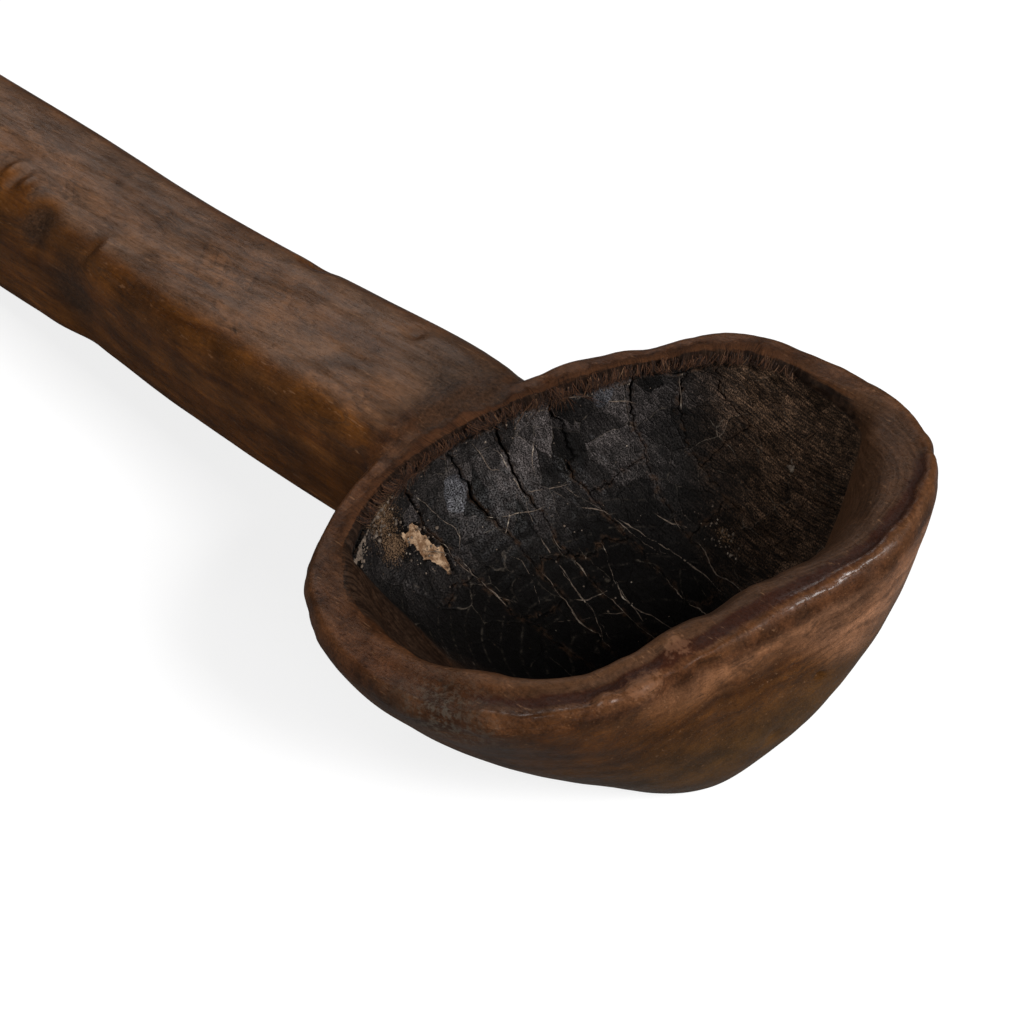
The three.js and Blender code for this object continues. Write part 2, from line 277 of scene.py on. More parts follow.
def handle_sizes(steps, end_steps, cap_steps):
    """Rows of place along X, middle, half width, top and underside, for the far end, the bar and a cap."""
    place = np.linspace(0, 1, steps)
    widths = curve(np.stack([HANDLE_X, HANDLE_MIDDLE, HANDLE_WIDTH / 2], -1), place, False)
    heights = curve(np.stack([HANDLE_X, HANDLE_TOP, HANDLE_UNDER], -1), place, False)
    bar = np.column_stack([widths, heights[:, 1:]])

    def shrunk(row, size, x):
        height = (row[3] + row[4]) / 2
        return np.column_stack([x, np.full_like(size, row[1]), row[2] * size,
                                mix(height, row[3], size), mix(height, row[4], size)])

    angle = np.linspace(0, np.pi / 2, end_steps)[:-1]
    end = shrunk(bar[0], np.sin(angle) ** END_ROUNDNESS, bar[0, 0] - END_LENGTH * np.cos(angle))
    cap_size = np.linspace(1, 0, cap_steps)[1:]
    cap = shrunk(bar[-1], cap_size, np.full_like(cap_size, bar[-1, 0]))
    return np.concatenate([end, bar, cap])


def handle_skin(sizes, around):
    """Each row's squared ellipse, flatter on top than underneath, rolled with the ladle."""
    x, middle, half, top, under = (sizes[:, k, None] for k in range(5))
    angle = np.arange(around) / around * TAU
    power = np.where(np.sin(angle) > 0, TOP_SQUARENESS, UNDER_SQUARENESS)
    across = half * signed_power(np.cos(angle), power)
    rise = (top - under) / 2 * signed_power(np.sin(angle), power)
    y = middle + across * np.cos(ROLL) - rise * np.sin(ROLL)
    z = (top + under) / 2 + across * np.sin(ROLL) + rise * np.cos(ROLL)
    return np.stack([np.broadcast_to(x, y.shape), y, z], -1)


def inner_share(points, by_height):
    """The share up the inner wall that has a point's height, or its distance from the axis, by halving."""
    turn = np.arctan2(points[..., 1], points[..., 0]) / TAU
    edge = lip_point(turn, np.pi)
    belly = curve(WALL_TRAITS, turn, True)[..., 0]
    if by_height:
        goal = (points[..., 2] - FLOOR_HEIGHT) / (edge[..., 2] - FLOOR_HEIGHT)
    else:
        goal = from_axis(points) / from_axis(edge)
    low, high = np.zeros_like(goal), np.ones_like(goal)
    for _ in range(HALVINGS):
        middle = (low + high) / 2
        reached = wall_sweep(middle, belly)[1 if by_height else 0] < goal
        low, high = np.where(reached, middle, low), np.where(reached, high, middle)
    return turn, low


def out_of_hollow(points):
    """Points inside the hollow move straight out from its axis until they are a bite into the wall."""
    turn, share = inner_share(points, True)
    wall = inner_point(turn, share)
    wanted = from_axis(wall) + WALL_BITE
    radius = from_axis(points)
    scale = np.where(radius < wanted, wanted / np.maximum(radius, NEAR), 1.0)
    return points * np.stack([scale, scale, np.ones_like(scale)], -1)


handle = out_of_hollow(handle_skin(handle_sizes(steps=260, end_steps=18, cap_steps=14), around=150))
print("handle skin:", handle.shape, "far end at x", handle[..., 0].min().round(1))

# %% [markdown]
# ## One billet
# Bowl and handle are one piece of wood, so they are fused: both skins go into one mesh,
# and a voxel remesh keeps only the outside of the two together as even small quads.
# A boolean would leave a hard seam. Here the seam is smoothed to the hollow that a knife leaves in a corner.

# %% Mesh helpers
VOXEL = 1.06


def grid_faces(rows, columns, closed):
    """Quads between neighbouring rows and columns. A closed grid joins its last column to its first."""
    row = np.arange(rows - 1)[:, None]
    column = np.arange(columns if closed else columns - 1)
    beside = (column + 1) % columns
    quads = np.stack(np.broadcast_arrays(row * columns + column, row * columns + beside,
                                         (row + 1) * columns + beside, (row + 1) * columns + column), -1)
    return quads.reshape(-1, 4)


def new_piece(name, points, *face_arrays):
    """A smooth-shaded object at the origin from points in millimetres and one or more arrays of faces."""
    mesh = bpy.data.meshes.new(name)
    faces = [face for block in face_arrays for face in block.tolist()]
    mesh.from_pydata((points.reshape(-1, 3) * MM).tolist(), [], faces)
    mesh.update()
    mesh.shade_smooth()
    piece = bpy.data.objects.new(name, mesh)
    bpy.context.scene.collection.objects.link(piece)
    return piece


def read_points(mesh, layer="co"):
    """The mesh's vertex places in millimetres, or its vertex normals."""
    values = np.empty(len(mesh.vertices) * 3)
    mesh.vertices.foreach_get(layer, values)
    return values.reshape(-1, 3) / (MM if layer == "co" else 1.0)


def write_points(mesh, points):
    """Puts vertex places in millimetres back into the mesh."""
    mesh.vertices.foreach_set("co", (points * MM).ravel())
    mesh.update()


def paint(piece, name, values):
    """Stores one number per vertex under a name that a material can read."""
    layer = piece.data.attributes.new(name, "FLOAT", "POINT")
    layer.data.foreach_set("value", np.asarray(values, np.float32).ravel())


def paint_places(piece, name, places):
    """Stores one place per vertex under a name that a material can read."""
    layer = piece.data.attributes.new(name, "FLOAT_VECTOR", "POINT")
    layer.data.foreach_set("vector", np.asarray(places, np.float32).ravel())


def neighbour_mean(values, edges):
    """For every vertex, the mean of the values at the other ends of its edges."""
    count = np.bincount(edges.ravel(), minlength=len(values))
    one, other = edges.T
    columns = [np.bincount(one, column[other], len(values)) + np.bincount(other, column[one], len(values))
               for column in values.reshape(len(values), -1).T]
    return (np.stack(columns, -1) / count[:, None]).reshape(values.shape)


# %% Fuse bowl and handle
skins = np.concatenate([bowl.reshape(-1, 3), handle.reshape(-1, 3)])
bowl_faces = grid_faces(bowl.shape[0], bowl.shape[1], True)
handle_faces = grid_faces(handle.shape[0], handle.shape[1], True) + bowl.shape[0] * bowl.shape[1]
body = new_piece("hewn_body", skins, bowl_faces, handle_faces)
fuse = body.modifiers.new("fuse", "REMESH")
fuse.mode = "VOXEL"
fuse.voxel_size = VOXEL * MM
fused = bpy.data.meshes.new_from_object(body.evaluated_get(bpy.context.evaluated_depsgraph_get()))
body.modifiers.clear()
body.data = fused
fused.shade_smooth()
print("fused body:", len(fused.vertices), "points,", len(fused.polygons), "faces")

# %% Soften the seam and the lip's inner edge, and wear the lip's top flat
EVEN_ROUNDS, EVEN_PULL, EVEN_PUSH = 4, 0.5, 0.52
SEAM_ROUNDS = 14
SHOULDER_ROUNDS = 60
SEAM_BAND = (-7, -1, 3, 9)
CRISP_TURN = (0.70, 0.76, 0.94, 1.0)
WORN_TURN = (0.17, 0.25, 0.94, 1.0)
BACK_MIDDLE = 0.40
edges = np.empty(len(fused.edges) * 2, np.int64)
fused.edges.foreach_get("vertices", edges)
edges = edges.reshape(-1, 2)
points = read_points(fused)


def outside_of_rim(points):
    """Distance from the rim's outer edge outwards, height below its crest, and the turn round the bowl."""
    turn = turn_at(points[:, 0], points[:, 1])
    crest = curve(CREST, turn, True)
    return from_axis(points) - from_axis(crest), crest[:, 2] - points[:, 2], turn


def smoothed(points, share, rounds):
    """Each round moves a point by its share of half the way to the mean of its neighbours."""
    for _ in range(rounds):
        points = points + 0.5 * share[:, None] * (neighbour_mean(points, edges) - points)
    return points


for _ in range(EVEN_ROUNDS):
    points = points + EVEN_PULL * (neighbour_mean(points, edges) - points)
    points = points - EVEN_PUSH * (neighbour_mean(points, edges) - points)
hewn = points
beyond, below, turn = outside_of_rim(hewn)
seam = within(SEAM_BAND, beyond) * ease(-40, -50, points[:, 0]) * ease(-1, 1, below)
points = smoothed(points, seam, SEAM_ROUNDS)
lip_width, crown, bevel = curve(LIP_TRAITS, turn, True).T
from_ridge = -beyond - crown * lip_width
shoulder = ease(1.5, 4.5, from_ridge) * ease(30, 16, below) * ease(0.14, 0.26, np.abs(turn - BACK_MIDDLE))
shoulder *= 1 - within(CRISP_TURN, turn)
points = smoothed(points, shoulder, SHOULDER_ROUNDS)
worn_flat = (0.55 + 0.40 * noise(points, (13, 13, 13), 46)) * within(WORN_TURN, turn)
worn_flat *= ease(-1.5, 0.5, -beyond) * ease(-lip_width - 1, -lip_width + 1, beyond)
points[:, 2] -= np.maximum(worn_flat - np.maximum(below, 0), 0)
print("seam points softened:", int((seam > 0.1).sum()), "shoulder points:", int((shoulder > 0.1).sum()))

# %% [markdown]
# ## The hand of the maker
# An adze and a knife leave long shallow facets, use leaves dents, and the knot has a hollow.
# Sculpting by hand could add these, but a list of marks in plain numbers can be read and corrected:
# each mark is a soft bump or hollow with a place, a size and a height, and noise adds the facets.
# Between crust and rim the bare wood rises without a groove, so those slopes are filled out as well.

# %% Tool marks and dents, in millimetres
HEW_RIPPLES = (((80, 22, 22), 0.34), ((28, 9, 9), 0.12), ((10, 4, 4), 0.04))
BOWL_RIPPLES = (((40, 40, 11), 0.34), ((15, 15, 6), 0.14), ((5, 5, 3), 0.05))
LIP_RIPPLES = (((11, 11, 11), 0.40), ((4.5, 4.5, 4.5), 0.24))
FRONT_RIPPLES = (((5, 5, 3), 0.16), ((2.2, 2.2, 2.2), 0.12))
INNER_RIPPLES = (((6, 6, 6), 0.15),)
JOINT_RIPPLES = (((5, 3, 3), 0.26), ((1.9, 1.9, 1.9), 0.16))
FRAY_RIPPLES = (((1.0, 5, 1), 0.42), ((3.4, 3.4, 1), 0.54))
MARKS = {
    "knot swelling": ((-218, 0, 38), (12, 9, 8), 1.6),
    "knot ridge": ((-222, 1, 38), (1.8, 3.4, 4), 0.9),
    "knot second ridge": ((-214, -1, 38), (1.9, 3.6, 4), 1.0),
    "knot furrow": ((-218, -1, 38), (1.6, 4, 4), -0.45),
    "knot hollow": ((-204, -6, 37), (3.6, 4, 5), -1.2),
    "knot crease": ((-200, -10, 32), (2.6, 3.6, 5), -0.9),
    "short crack": ((-182.8, -7, 39), (1.2, 3.2, 3), -0.9),
    "crack lip": ((-180, -6, 39), (1.5, 3, 3), 0.3),
    "stained hollow": ((-184, -12, 24), (8, 4, 9), -1.0),
    "underside ledge": ((-199, -8, 11), (7, 8, 6), 0.6),
    "underside step": ((-187, -9, 12), (5, 6, 6), -0.5),
    "far edge chip": ((-131, 20, 46.5), (4, 2.4, 2.4), -1.5),
    "top chip": ((-91, 13.7, 52.4), (3.2, 2.2, 3), -1.1),
    "top chip lip": ((-87, 13, 52.4), (2, 2.2, 3), 0.4),
    "top dent": ((-150, 6, 46), (16, 7, 6), -0.6),
    "side flat": ((-120, -16, 30), (30, 5, 8), -0.5),
    "joint crease": ((-62, 17, 54), (1.6, 7, 3), -0.6),
    "joint filling": ((-68, 0, 50), (5, 16, 5), 0.8),
    "back rim dip": ((-41, 40, 62), (5, 5, 6), -1.1),
    "back rim swell": ((-31, 51, 64), (9, 6, 6), 0.7),
    "back rim rise": ((-56, 27, 57), (9, 9, 6), 0.9),
    "corner notch": ((33, 45.5, 71), (2.0, 1.8, 3), -1.2),
    "front bump": ((28, -26, 59), (3.2, 3.2, 3), 1.7),
    "front chip": ((35, -25, 57), (2.2, 4, 3), -1.7),
    "front scab": ((29, -38, 56), (3.4, 4.2, 3), 1.3),
    "front scab end": ((25, -44, 55), (2.2, 2.2, 2.4), 1.4),
    "front nick": ((32, -31, 56.5), (1.8, 2.4, 3), -1.8),
    "front furrow": ((17, -56, 51.5), (7, 5, 1.6), -0.7),
    "left rim dent": ((0, -65, 47), (8, 5, 6), -1.3),
    "left rim lump": ((8, -61, 49), (3, 3, 4), 0.9),
    "left rim second dent": ((-22, -67, 45), (7, 5, 5), -0.8),
    "left rim swelling": ((-38, -62, 44.5), (9, 7, 6), 0.6),
    "left shoulder hollow": ((-30, -52, 34), (14, 7, 8), -0.9),
    "worm hole": ((41, 5.3, 39), (0.9, 0.9, 0.9), -1.8),
    "low nick": ((35.5, -1.7, 22.5), (2, 2, 3), -0.8),
    "right low flat": ((30, 34, 20), (12, 9, 10), -0.9),
}


def ripples(points, layers, seed):
    """The sum of noise layers, each with its own size along X, Y and Z, times its depth."""
    return sum(depth * noise(points, size, seed + k) for k, (size, depth) in enumerate(layers))


def soft_spot(points, place, size):
    """A soft round mask: exp of minus the squared distance from a place, measured in its own sizes."""
    return np.exp(-(((points - place) / size) ** 2).sum(axis=-1))


def soft_marks(points, marks):
    """The sum of soft round masks, each times its height."""
    return sum(height * soft_spot(points, place, size) for place, size, height in marks.values())


# %% Where each point of the body is


def inner_wall_mask(points):
    """1 on the bowl's inner wall and 0 elsewhere, with the turn and the share up that wall."""
    turn, share = inner_share(points, False)
    wall = inner_point(turn, share)
    past_wall = from_axis(points) - from_axis(wall)
    near = ease(5, 2.5, np.abs(points[:, 2] - wall[:, 2])) * ease(1.5, 0.5, past_wall)
    return near, turn % 1.0, share


write_points(fused, points)
normals = read_points(fused, "normal")
inside, wall_turn, wall_share = inner_wall_mask(hewn)
on_handle = ease(4, 16, beyond) * ease(-55, -70, points[:, 0])
past_crown = ease(-0.8, 0.8, from_ridge)
on_lip = mix(ease(7.5, 4, below), ease(bevel + 2, bevel - 0.5, below), past_crown)
on_lip *= ease(-lip_width - 2.5, -lip_width, beyond) * ease(6, 2, beyond)
bare_face = np.maximum(inside, on_lip * past_crown)
front = front_share(turn)
print("points inside the bowl:", int((inside > 0.5).sum()), "on the lip:", int((on_lip > 0.5).sum()))

# %% Torn fibres under the back of the lip
TORN_TURN = (0.25, 0.32, 0.56, 0.62)
RIM_GIRTH = 60.0 * TAU
tangle = 1.4 * noise(points, (4, 4, 4), 30) + 0.5 * below * noise(points, (11, 11, 11), 32)
fibre_place = np.stack([wall_turn * RIM_GIRTH + tangle, -below, np.zeros_like(below)], -1)
clump = line_noise(wall_turn * RIM_GIRTH, 7.0, 35) + 0.5 * line_noise(wall_turn * RIM_GIRTH, 2.2, 36)
torn_back = within(TORN_TURN, wall_turn)
torn_start = -lip_width * (0.64 - 0.07 * clump + 0.08 * noise(fibre_place, (1.4, 400, 1), 31))
torn = torn_back * ease(torn_start + 1.2, torn_start - 0.8, beyond) * np.maximum(inside, on_lip)
torn *= ease(0.89, 0.94, wall_share + 0.04 * clump)
fray = torn * ripples(fibre_place, FRAY_RIPPLES, 33)
print("torn fibre points:", int((torn > 0.3).sum()))

# %% The bare slopes between the crust and the rim
CRACK_LINES = np.array([[-0.70, -0.20], [-0.30, -0.10], [-0.08, 0.0], [0.09, 0.11], [0.31, 0.25],
                        [0.62, 0.38], [0.76, 0.53], [0.86, 0.72], [0.93, 0.92]])
CRUST_FRONT = 0.30
LEFT_SLOPE, RIGHT_SLOPE = 3.6, 3.0
SLOPE_ROUNDS = 16
LEFT_TURN = (0.54, 0.62, 0.73, 0.80)
RIGHT_TURN_FROM_BACK = (0.42, 0.49, 0.68, 0.76)
along = wall_share * np.cos(wall_turn * TAU)
across = wall_share * np.sin(wall_turn * TAU)
left_edge = mix(CRACK_LINES[0, 1], CRACK_LINES[0, 0], np.clip(-along, 0, 1) ** 1.5)
crust_top = curve(WALL_TRAITS, wall_turn, True)[:, 1]
past_front = ease(CRUST_FRONT - 0.02, CRUST_FRONT + 0.10, along)
past_top = ease(crust_top + 0.01, crust_top + 0.07, wall_share)
past_left = ease(-0.02, -0.12, across - left_edge)
past_crust = np.maximum(np.maximum(past_front, past_top), past_left)
sloped = past_crust * bare_face * ease(0.50, 0.80, wall_share) * ease(1.5, 6.5, from_ridge)
from_back = (turn + 0.5) % 1.0
left_part, right_part = within(LEFT_TURN, turn), within(RIGHT_TURN_FROM_BACK, from_back)
slopes = sloped * (LEFT_SLOPE * left_part + RIGHT_SLOPE * right_part)
points = points + slopes[:, None] * normals
points = smoothed(points, np.minimum(slopes, 1), SLOPE_ROUNDS)
write_points(fused, points)
normals = read_points(fused, "normal")
print("sloped points:", int((slopes > 0.5).sum()))

# %% Displace the body
FRONT_SWELL = 2.0
SWELL_TURN = (0.71, 0.78, 0.88, 0.95)
JOINT_SPOT = ((-65, 5, 52), (10, 18, 8))
relief = on_handle * ripples(points, HEW_RIPPLES, 11)
relief += (1 - on_handle) * (1 - inside) * ripples(points, BOWL_RIPPLES, 21)
relief += on_lip * ripples(points, LIP_RIPPLES, 41)
relief += on_lip * front * ripples(points, FRONT_RIPPLES, 44)
relief += inside * ripples(points, INNER_RIPPLES, 43)
swell = within(SWELL_TURN, turn) * ease(3, 7, from_ridge) * ease(bevel + 7, bevel + 1, below) * (beyond < 0)
relief += FRONT_SWELL * swell
relief += soft_spot(points, *JOINT_SPOT) * ripples(points, JOINT_RIPPLES, 48)
relief += soft_marks(points, MARKS) + fray
points = points + relief[:, None] * normals
points[:, 2] = np.maximum(points[:, 2], 0.0)
write_points(fused, points)
normals = read_points(fused, "normal")
print("relief from", relief.min().round(2), "to", relief.max().round(2), "mm")

# %% [markdown]
# ## What the surface remembers
# Hands rub ridges bright, painted shade darkens the hollows, and fire blackens the inside. A shader can't
# know these by itself, so each is worked out per point and stored on the mesh: ridges and hollows from how a
# point stands against its neighbours, the burnt part from its place on the inner wall.

# %% Ridges, and hollows for painted shade
STANDING_ROUNDS, STANDING_SHARE = 6, 0.7
WORM_HOLE = MARKS["worm hole"][0], (1.1, 1.1, 1.1)
standing = ((points - neighbour_mean(points, edges)) * normals).sum(axis=1)
for _ in range(STANDING_ROUNDS):
    standing = mix(standing, neighbour_mean(standing, edges), STANDING_SHARE)
paint(body, "ridge", ease(0.015, 0.09, standing) * (1 - 0.85 * on_handle))
# Painted shade: concave places and the worm hole are stored here, and the wood is darkened there towards
# black.
paint(body, "hollow", np.maximum(ease(0.01, 0.07, -standing), 2 * soft_spot(points, *WORM_HOLE)))

# %% Burnt wood and soot
smoke = noise(np.stack([along * 60, across * 60, 0 * along], -1), (16, 4, 1), 47)
burnt = bare_face * ease(bevel - 0.5, bevel + 1.5, below)
burnt *= ease(crust_top + 0.12, crust_top - 0.02, wall_share) + 0.9 * torn_back * inside
burnt *= ease(-0.16, 0.03, across - left_edge + 0.05 * smoke)
burnt *= ease(CRUST_FRONT + 0.20, CRUST_FRONT - 0.04, along + 0.06 * smoke)
paint(body, "burnt", np.clip(burnt, 0, 1))
sooted = np.maximum(inside, 0.85 * on_lip * past_crown * left_part * ease(3, 9, from_ridge))
sooty = sooted * ease(-0.75, -0.25, across - left_edge + 0.12 * smoke) * ease(0.42, 0.05, along)
paint(body, "sooty", sooty)
print("burnt points:", int((burnt > 0.5).sum()))

# %% The crust's own masks, from its place along and across the grain
WALL_LENGTH = 62.0
DUSTY = {
    "beside the flake": ((-0.86, -0.40), (0.13, 0.10), 1.0),
    "under the flake": ((-0.71, -0.36), (0.06, 0.06), 0.8),
    "right string": ((-0.15, 0.46), (0.05, 0.03), 0.8),
    "right spot": ((-0.04, 0.75), (0.04, 0.03), 0.6),
}
GLASSY = {
    "grey flake": ((-0.83, 0.50), (0.05, 0.05), 1.0),
    "left flake": ((-0.80, -0.10), (0.09, 0.06), 0.7),
}


def crust_masks(piece, along, across):
    """Stores where the crust is thin and brown, dusty, ashy grey with painted sheen, glassy, or painted
    darker as shade low in the bowl, and its place.
    """
    spot = np.stack([along, across], -1)
    # The ashy mask is grey bloom with painted sheen: the crust is made greyer on the back wall, which faces
    # the light.
    ashy = ease(-0.30, -0.80, along) * ease(0.85, 0.50, across) * mix(0.45, 1.0, ease(-0.25, 0.15, across))
    paint(piece, "thin", ease(0.05, 0.62, across + 1.1 * along))
    paint(piece, "dusty", soft_marks(spot, DUSTY))
    paint(piece, "ashy", ashy)
    paint(piece, "glassy", soft_marks(spot, GLASSY))
    # Painted shade: the crust low in the bowl and towards the front is marked to be made nearly black, where
    # the front wall shades it.
    paint(piece, "deep", ease(-0.72, -0.38, along) * ease(0.55, 0.20, across))
    paint_places(piece, "wall_place", np.stack([along, across, 0 * along], -1) * WALL_LENGTH)


crust_masks(body, along, across)

# %% Bands along the rim
GLEAMS = {
    "right glint": ((38, 8, 66.5), (8, 17, 7), 1.0),
    "front glint": ((19, -54, 52), (10, 11, 6), 1.0),
}
GLINT_TURN, GLINT_SHIFT, GLINT_WIDTH = (0.60, 0.70, 0.86, 0.95), (0.6, 3.0), 1.3
RED_MIDDLE, RED_WIDTH = 1.7, 2.2
ridge_shift = mix(*GLINT_SHIFT, within(GLINT_TURN, turn))
ridge_line = np.exp(-(((from_ridge + ridge_shift) / GLINT_WIDTH) ** 2)) * ease(6, 4, below)
gleam = np.minimum(soft_marks(points, GLEAMS), 1)
paint(body, "polished", on_lip * ridge_line * mix(0.05, 1.0, gleam))
paint(body, "ridge_band", front * on_lip * np.exp(-(((from_ridge - RED_MIDDLE) / RED_WIDTH) ** 2)))
from_front = np.minimum(turn, 1 - turn)
paint(body, "slope", bare_face * ease(0.27, 0.19, from_front) * ease(-0.5, 2.5, from_ridge))
outside = (1 - inside) * (1 - on_handle) * ease(2.5, 5, below)
# Painted light: the pale band on the front is made stronger and deeper on the right, the side that faces the
# main light; the band itself is the wood's paler tone.
right_side_painted_light = ease(0.47, 0.55, from_back)
pale_depth = mix(9, 24, right_side_painted_light)
pale_band = outside * ease(pale_depth + 8, pale_depth - 4, below) * ease(0.18, 0.10, from_front)
paint(body, "pale_band", mix(0.7, 1.1, right_side_painted_light) * pale_band)
paint(body, "low", outside * ease(12, 44, below))
paint(body, "lip", np.maximum(on_lip, inside))

# %% Rubbed, torn, stained and bare places
FLAKE_PLACE, FLAKE_SIZE = (-0.67, -0.25), (0.16, 0.075)
SCABS = {
    "long scab": ((29, -37, 57), (5, 6, 4), 1.0),
    "bump": ((28, -26, 60), (3.4, 3.4, 3), 1.0),
    "scab end": ((24, -45, 55), (3, 3, 3), 1.0),
}
STAINS = {
    "handle hollow": ((-186, -11, 27), (9, 7, 12), 1.0),
    "knot": ((-203, -7, 36), (6, 6, 7), 1.0),
    "joint": ((-66, 5, 52), (10, 17, 8), 1.1),
    "above the joint": ((-82, 12, 52), (12, 9, 6), 0.6),
    "front left rim": ((2, -63, 49), (12, 9, 6), 0.55),
    "left rim": ((-12, -66, 47), (8, 8, 6), 0.4),
}
WEATHERED_SPOT = ((1, -63, 42), (12, 8, 7))
ARRIS_LEVEL = (0.20, 0.60, 0.85, 0.97)
level = normals[:, 2]
# Painted light and shade on the handle by how its faces stand: the sides are made lighter, the upper arrises
# darker, the top stays as it is.
arris_shade = within(ARRIS_LEVEL, level)
flake = np.hypot((along - FLAKE_PLACE[0]) / FLAKE_SIZE[0], (across - FLAKE_PLACE[1]) / FLAKE_SIZE[1])
paint(body, "on_bowl", 1 - on_handle)
paint(body, "rubbed", on_handle * ease(0.3, 0.9, level))
paint(body, "even", mix(1.0, mix(1.12, 0.74, arris_shade), on_handle * ease(0.97, 0.92, level)))
paint(body, "torn", torn)
paint_places(body, "fibre_place", fibre_place)
paint(body, "bare", inside * ease(1.25, 0.6, flake))
paint(body, "scab", soft_marks(points, SCABS))
paint(body, "stain", soft_marks(points, STAINS))
paint(body, "weathered", soft_spot(points, *WEATHERED_SPOT))
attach(body, "root")
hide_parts("carved_body")
print("stored on the body:", len(body.data.attributes), "layers")

# %% [markdown]
# ## The burnt crust
# The black layer has shrunk and split along the grain into strips, and the strips have broken across.
# Each plate is a grid of points between two cracks, lifted off the wall: its rim is rounded and ragged,
# and its top carries blisters and the traces of the growth rings. The grid closes underneath.

# %% Places on the inner wall
CRUST_GAP, CRUST_THICKNESS = 0.4, 1.2
SPINE_ALONG, SPINE_SLANT = -0.45, 0.25
PLATE_SPACING = 0.36
REACH_HALVINGS = 30
NORMAL_STEP = 0.02


def on_wall(along, across):
    """The point of the inner wall at a place along and across the grain."""
    return inner_point(turn_at(along, across), np.hypot(along, across))


def wall_place(along, across, height):
    """The point of the inner wall at a place along and across the grain, moved off the wood by a height.
    The place is a share of the way up the wall. The normal comes from differences over a small step."""
    slope_along = on_wall(along + NORMAL_STEP, across) - on_wall(along - NORMAL_STEP, across)
    slope_across = on_wall(along, across + NORMAL_STEP) - on_wall(along, across - NORMAL_STEP)
    normal = np.cross(slope_along, slope_across)
    normal /= np.linalg.norm(normal, axis=-1, keepdims=True)
    return on_wall(along, across) + normal * np.asarray(height)[..., None]


def crust_reach(across, side):
    """How far the crust goes along the grain, back for side -1 and forward for side 1, found by halving."""
    inner = SPINE_ALONG + SPINE_SLANT * across
    outer = np.full_like(across, side)
    for _ in range(REACH_HALVINGS):
        middle = (inner + outer) / 2
        top = curve(WALL_TRAITS, turn_at(middle, across), True)[..., 1]
        covered = np.hypot(middle, across) < top
        inner, outer = np.where(covered, middle, inner), np.where(covered, outer, middle)
    return np.minimum(inner, CRUST_FRONT)


REACH_ACROSS = np.linspace(-0.75, 0.97, 500)
REACH_BACK = crust_reach(REACH_ACROSS, -1.0)
REACH_FRONT = crust_reach(REACH_ACROSS, 1.0)
print("crust reaches along", REACH_BACK.min().round(2), "to", REACH_FRONT.max().round(2))

# %% Cracks and the crust's height
CRACK_WANDER, CRACK_WAVES, CRACK_SHIFT, CRACK_FAN = 0.014, 9.0, 2.3, 3.0
BACK_CRACK, FRONT_CRACK = 0.0025, 0.0003
RING_BOW, RING_SPACING = 240.0, 2.4
FLAKE_RIPPLES = (((13, 8, 1), 1.0), ((3, 2.2, 1), 0.4), ((1, 0.9, 1), 0.2))
BLISTERS = (((11, 7, 1), 0.20), ((2.8, 1.7, 1), 0.09), ((1.0, 0.8, 1), 0.08))
RING_TRACES = ((-0.42, -0.10), (0.22, 0.22))


def crack_line(line, share):
    """The middle of a crack: from its place in front to its place at the back, fanning out and wandering."""
    front_place, back_place = CRACK_LINES[line, 1], CRACK_LINES[line, 0]
    wander = CRACK_WANDER * np.sin(CRACK_WAVES * share + CRACK_SHIFT * line)
    jitter = 0.008 * line_noise(share, 0.06, 50 + line) + 0.006 * line_noise(share, 0.016, 70 + line)
    return mix(front_place, back_place, (1 - share) ** CRACK_FAN) + wander + jitter


def crack_half(line, share, side):
    """Half a crack's width: wide where the crust tore at the back, a hair at the front, and never even."""
    width = mix(BACK_CRACK, FRONT_CRACK, ease(0.04, 0.36, share))
    return width * (0.2 + (0.55 + 0.55 * line_noise(share, 0.045, 90 + 2 * line + side)) ** 2)


def ring_height(points):
    """Height in the billet across its growth rings, which lie nearly level in the ladle's own frame."""
    x, y, z = points[..., 0], points[..., 1], points[..., 2]
    return z - x * np.tan(LEAN) - y * np.tan(ROLL) + y * y / RING_BOW


def wall_plan(along, across):
    """Places on the wall spread flat, in millimetres, for noise."""
    return np.stack([along * WALL_LENGTH, across * WALL_LENGTH, np.zeros_like(along)], -1)


def flaked(along, across):
    """0 on the crust's skin and 1 where its upper layer has come off, with sharp ragged steps between."""
    return ease(0.30, 0.40, ripples(wall_plan(along, across), FLAKE_RIPPLES, 105))


def crust_relief(along, across):
    """Blisters of three sizes, a layer that is off in places, and faint growth rings low in the bowl."""
    plan = wall_plan(along, across)
    rough = ripples(plan, BLISTERS, 101)
    rings = ring_height(on_wall(along, across)) + 1.6 * noise(plan, (22, 14, 1), 104)
    low = soft_spot(np.stack([along, across], -1), *RING_TRACES)
    return rough - 0.26 * flaked(along, across) + (0.01 + 0.10 * low) * np.sin(TAU * rings / RING_SPACING)


print("crack at the back is", round(2 * BACK_CRACK * WALL_LENGTH, 2), "mm wide")

# %% One plate
EDGE_ROUND = 0.36
BACK_FALL, FRONT_FALL = 0.9, 0.10
SUNK = -0.35
PATCHES = ((FLAKE_PLACE, (0.115, 0.042), 24.0), ((-0.80, 0.29), (0.10, 0.03), -8.0))
RAGGED = (((2.6, 2.2, 1), 0.35), ((0.9, 0.9, 1), 0.2))


def missing(along, across):
    """Above 0 where a flake of the crust has come off: ragged ovals with a place, half sizes and a turn."""
    ragged = ripples(wall_plan(along, across), RAGGED, 111)
    gone = np.full(along.shape, -1.0)
    for (a, b), (long, short), turned in PATCHES:
        c, s = math.cos(math.radians(turned)), math.sin(math.radians(turned))
        u, v = along - a, across - b
        oval = 1 - np.hypot((u * c + v * s) / long, (v * c - u * s) / short)
        gone = np.maximum(gone, oval + ragged)
    return gone


def break_line(sideways, strip, number):
    """How far a break across a strip strays forward or back. Both plates beside it use the same line."""
    seed = 130 + 8 * strip + number
    return 0.014 * line_noise(sideways, 0.30, seed) + 0.006 * line_noise(sideways, 0.09, seed + 100)


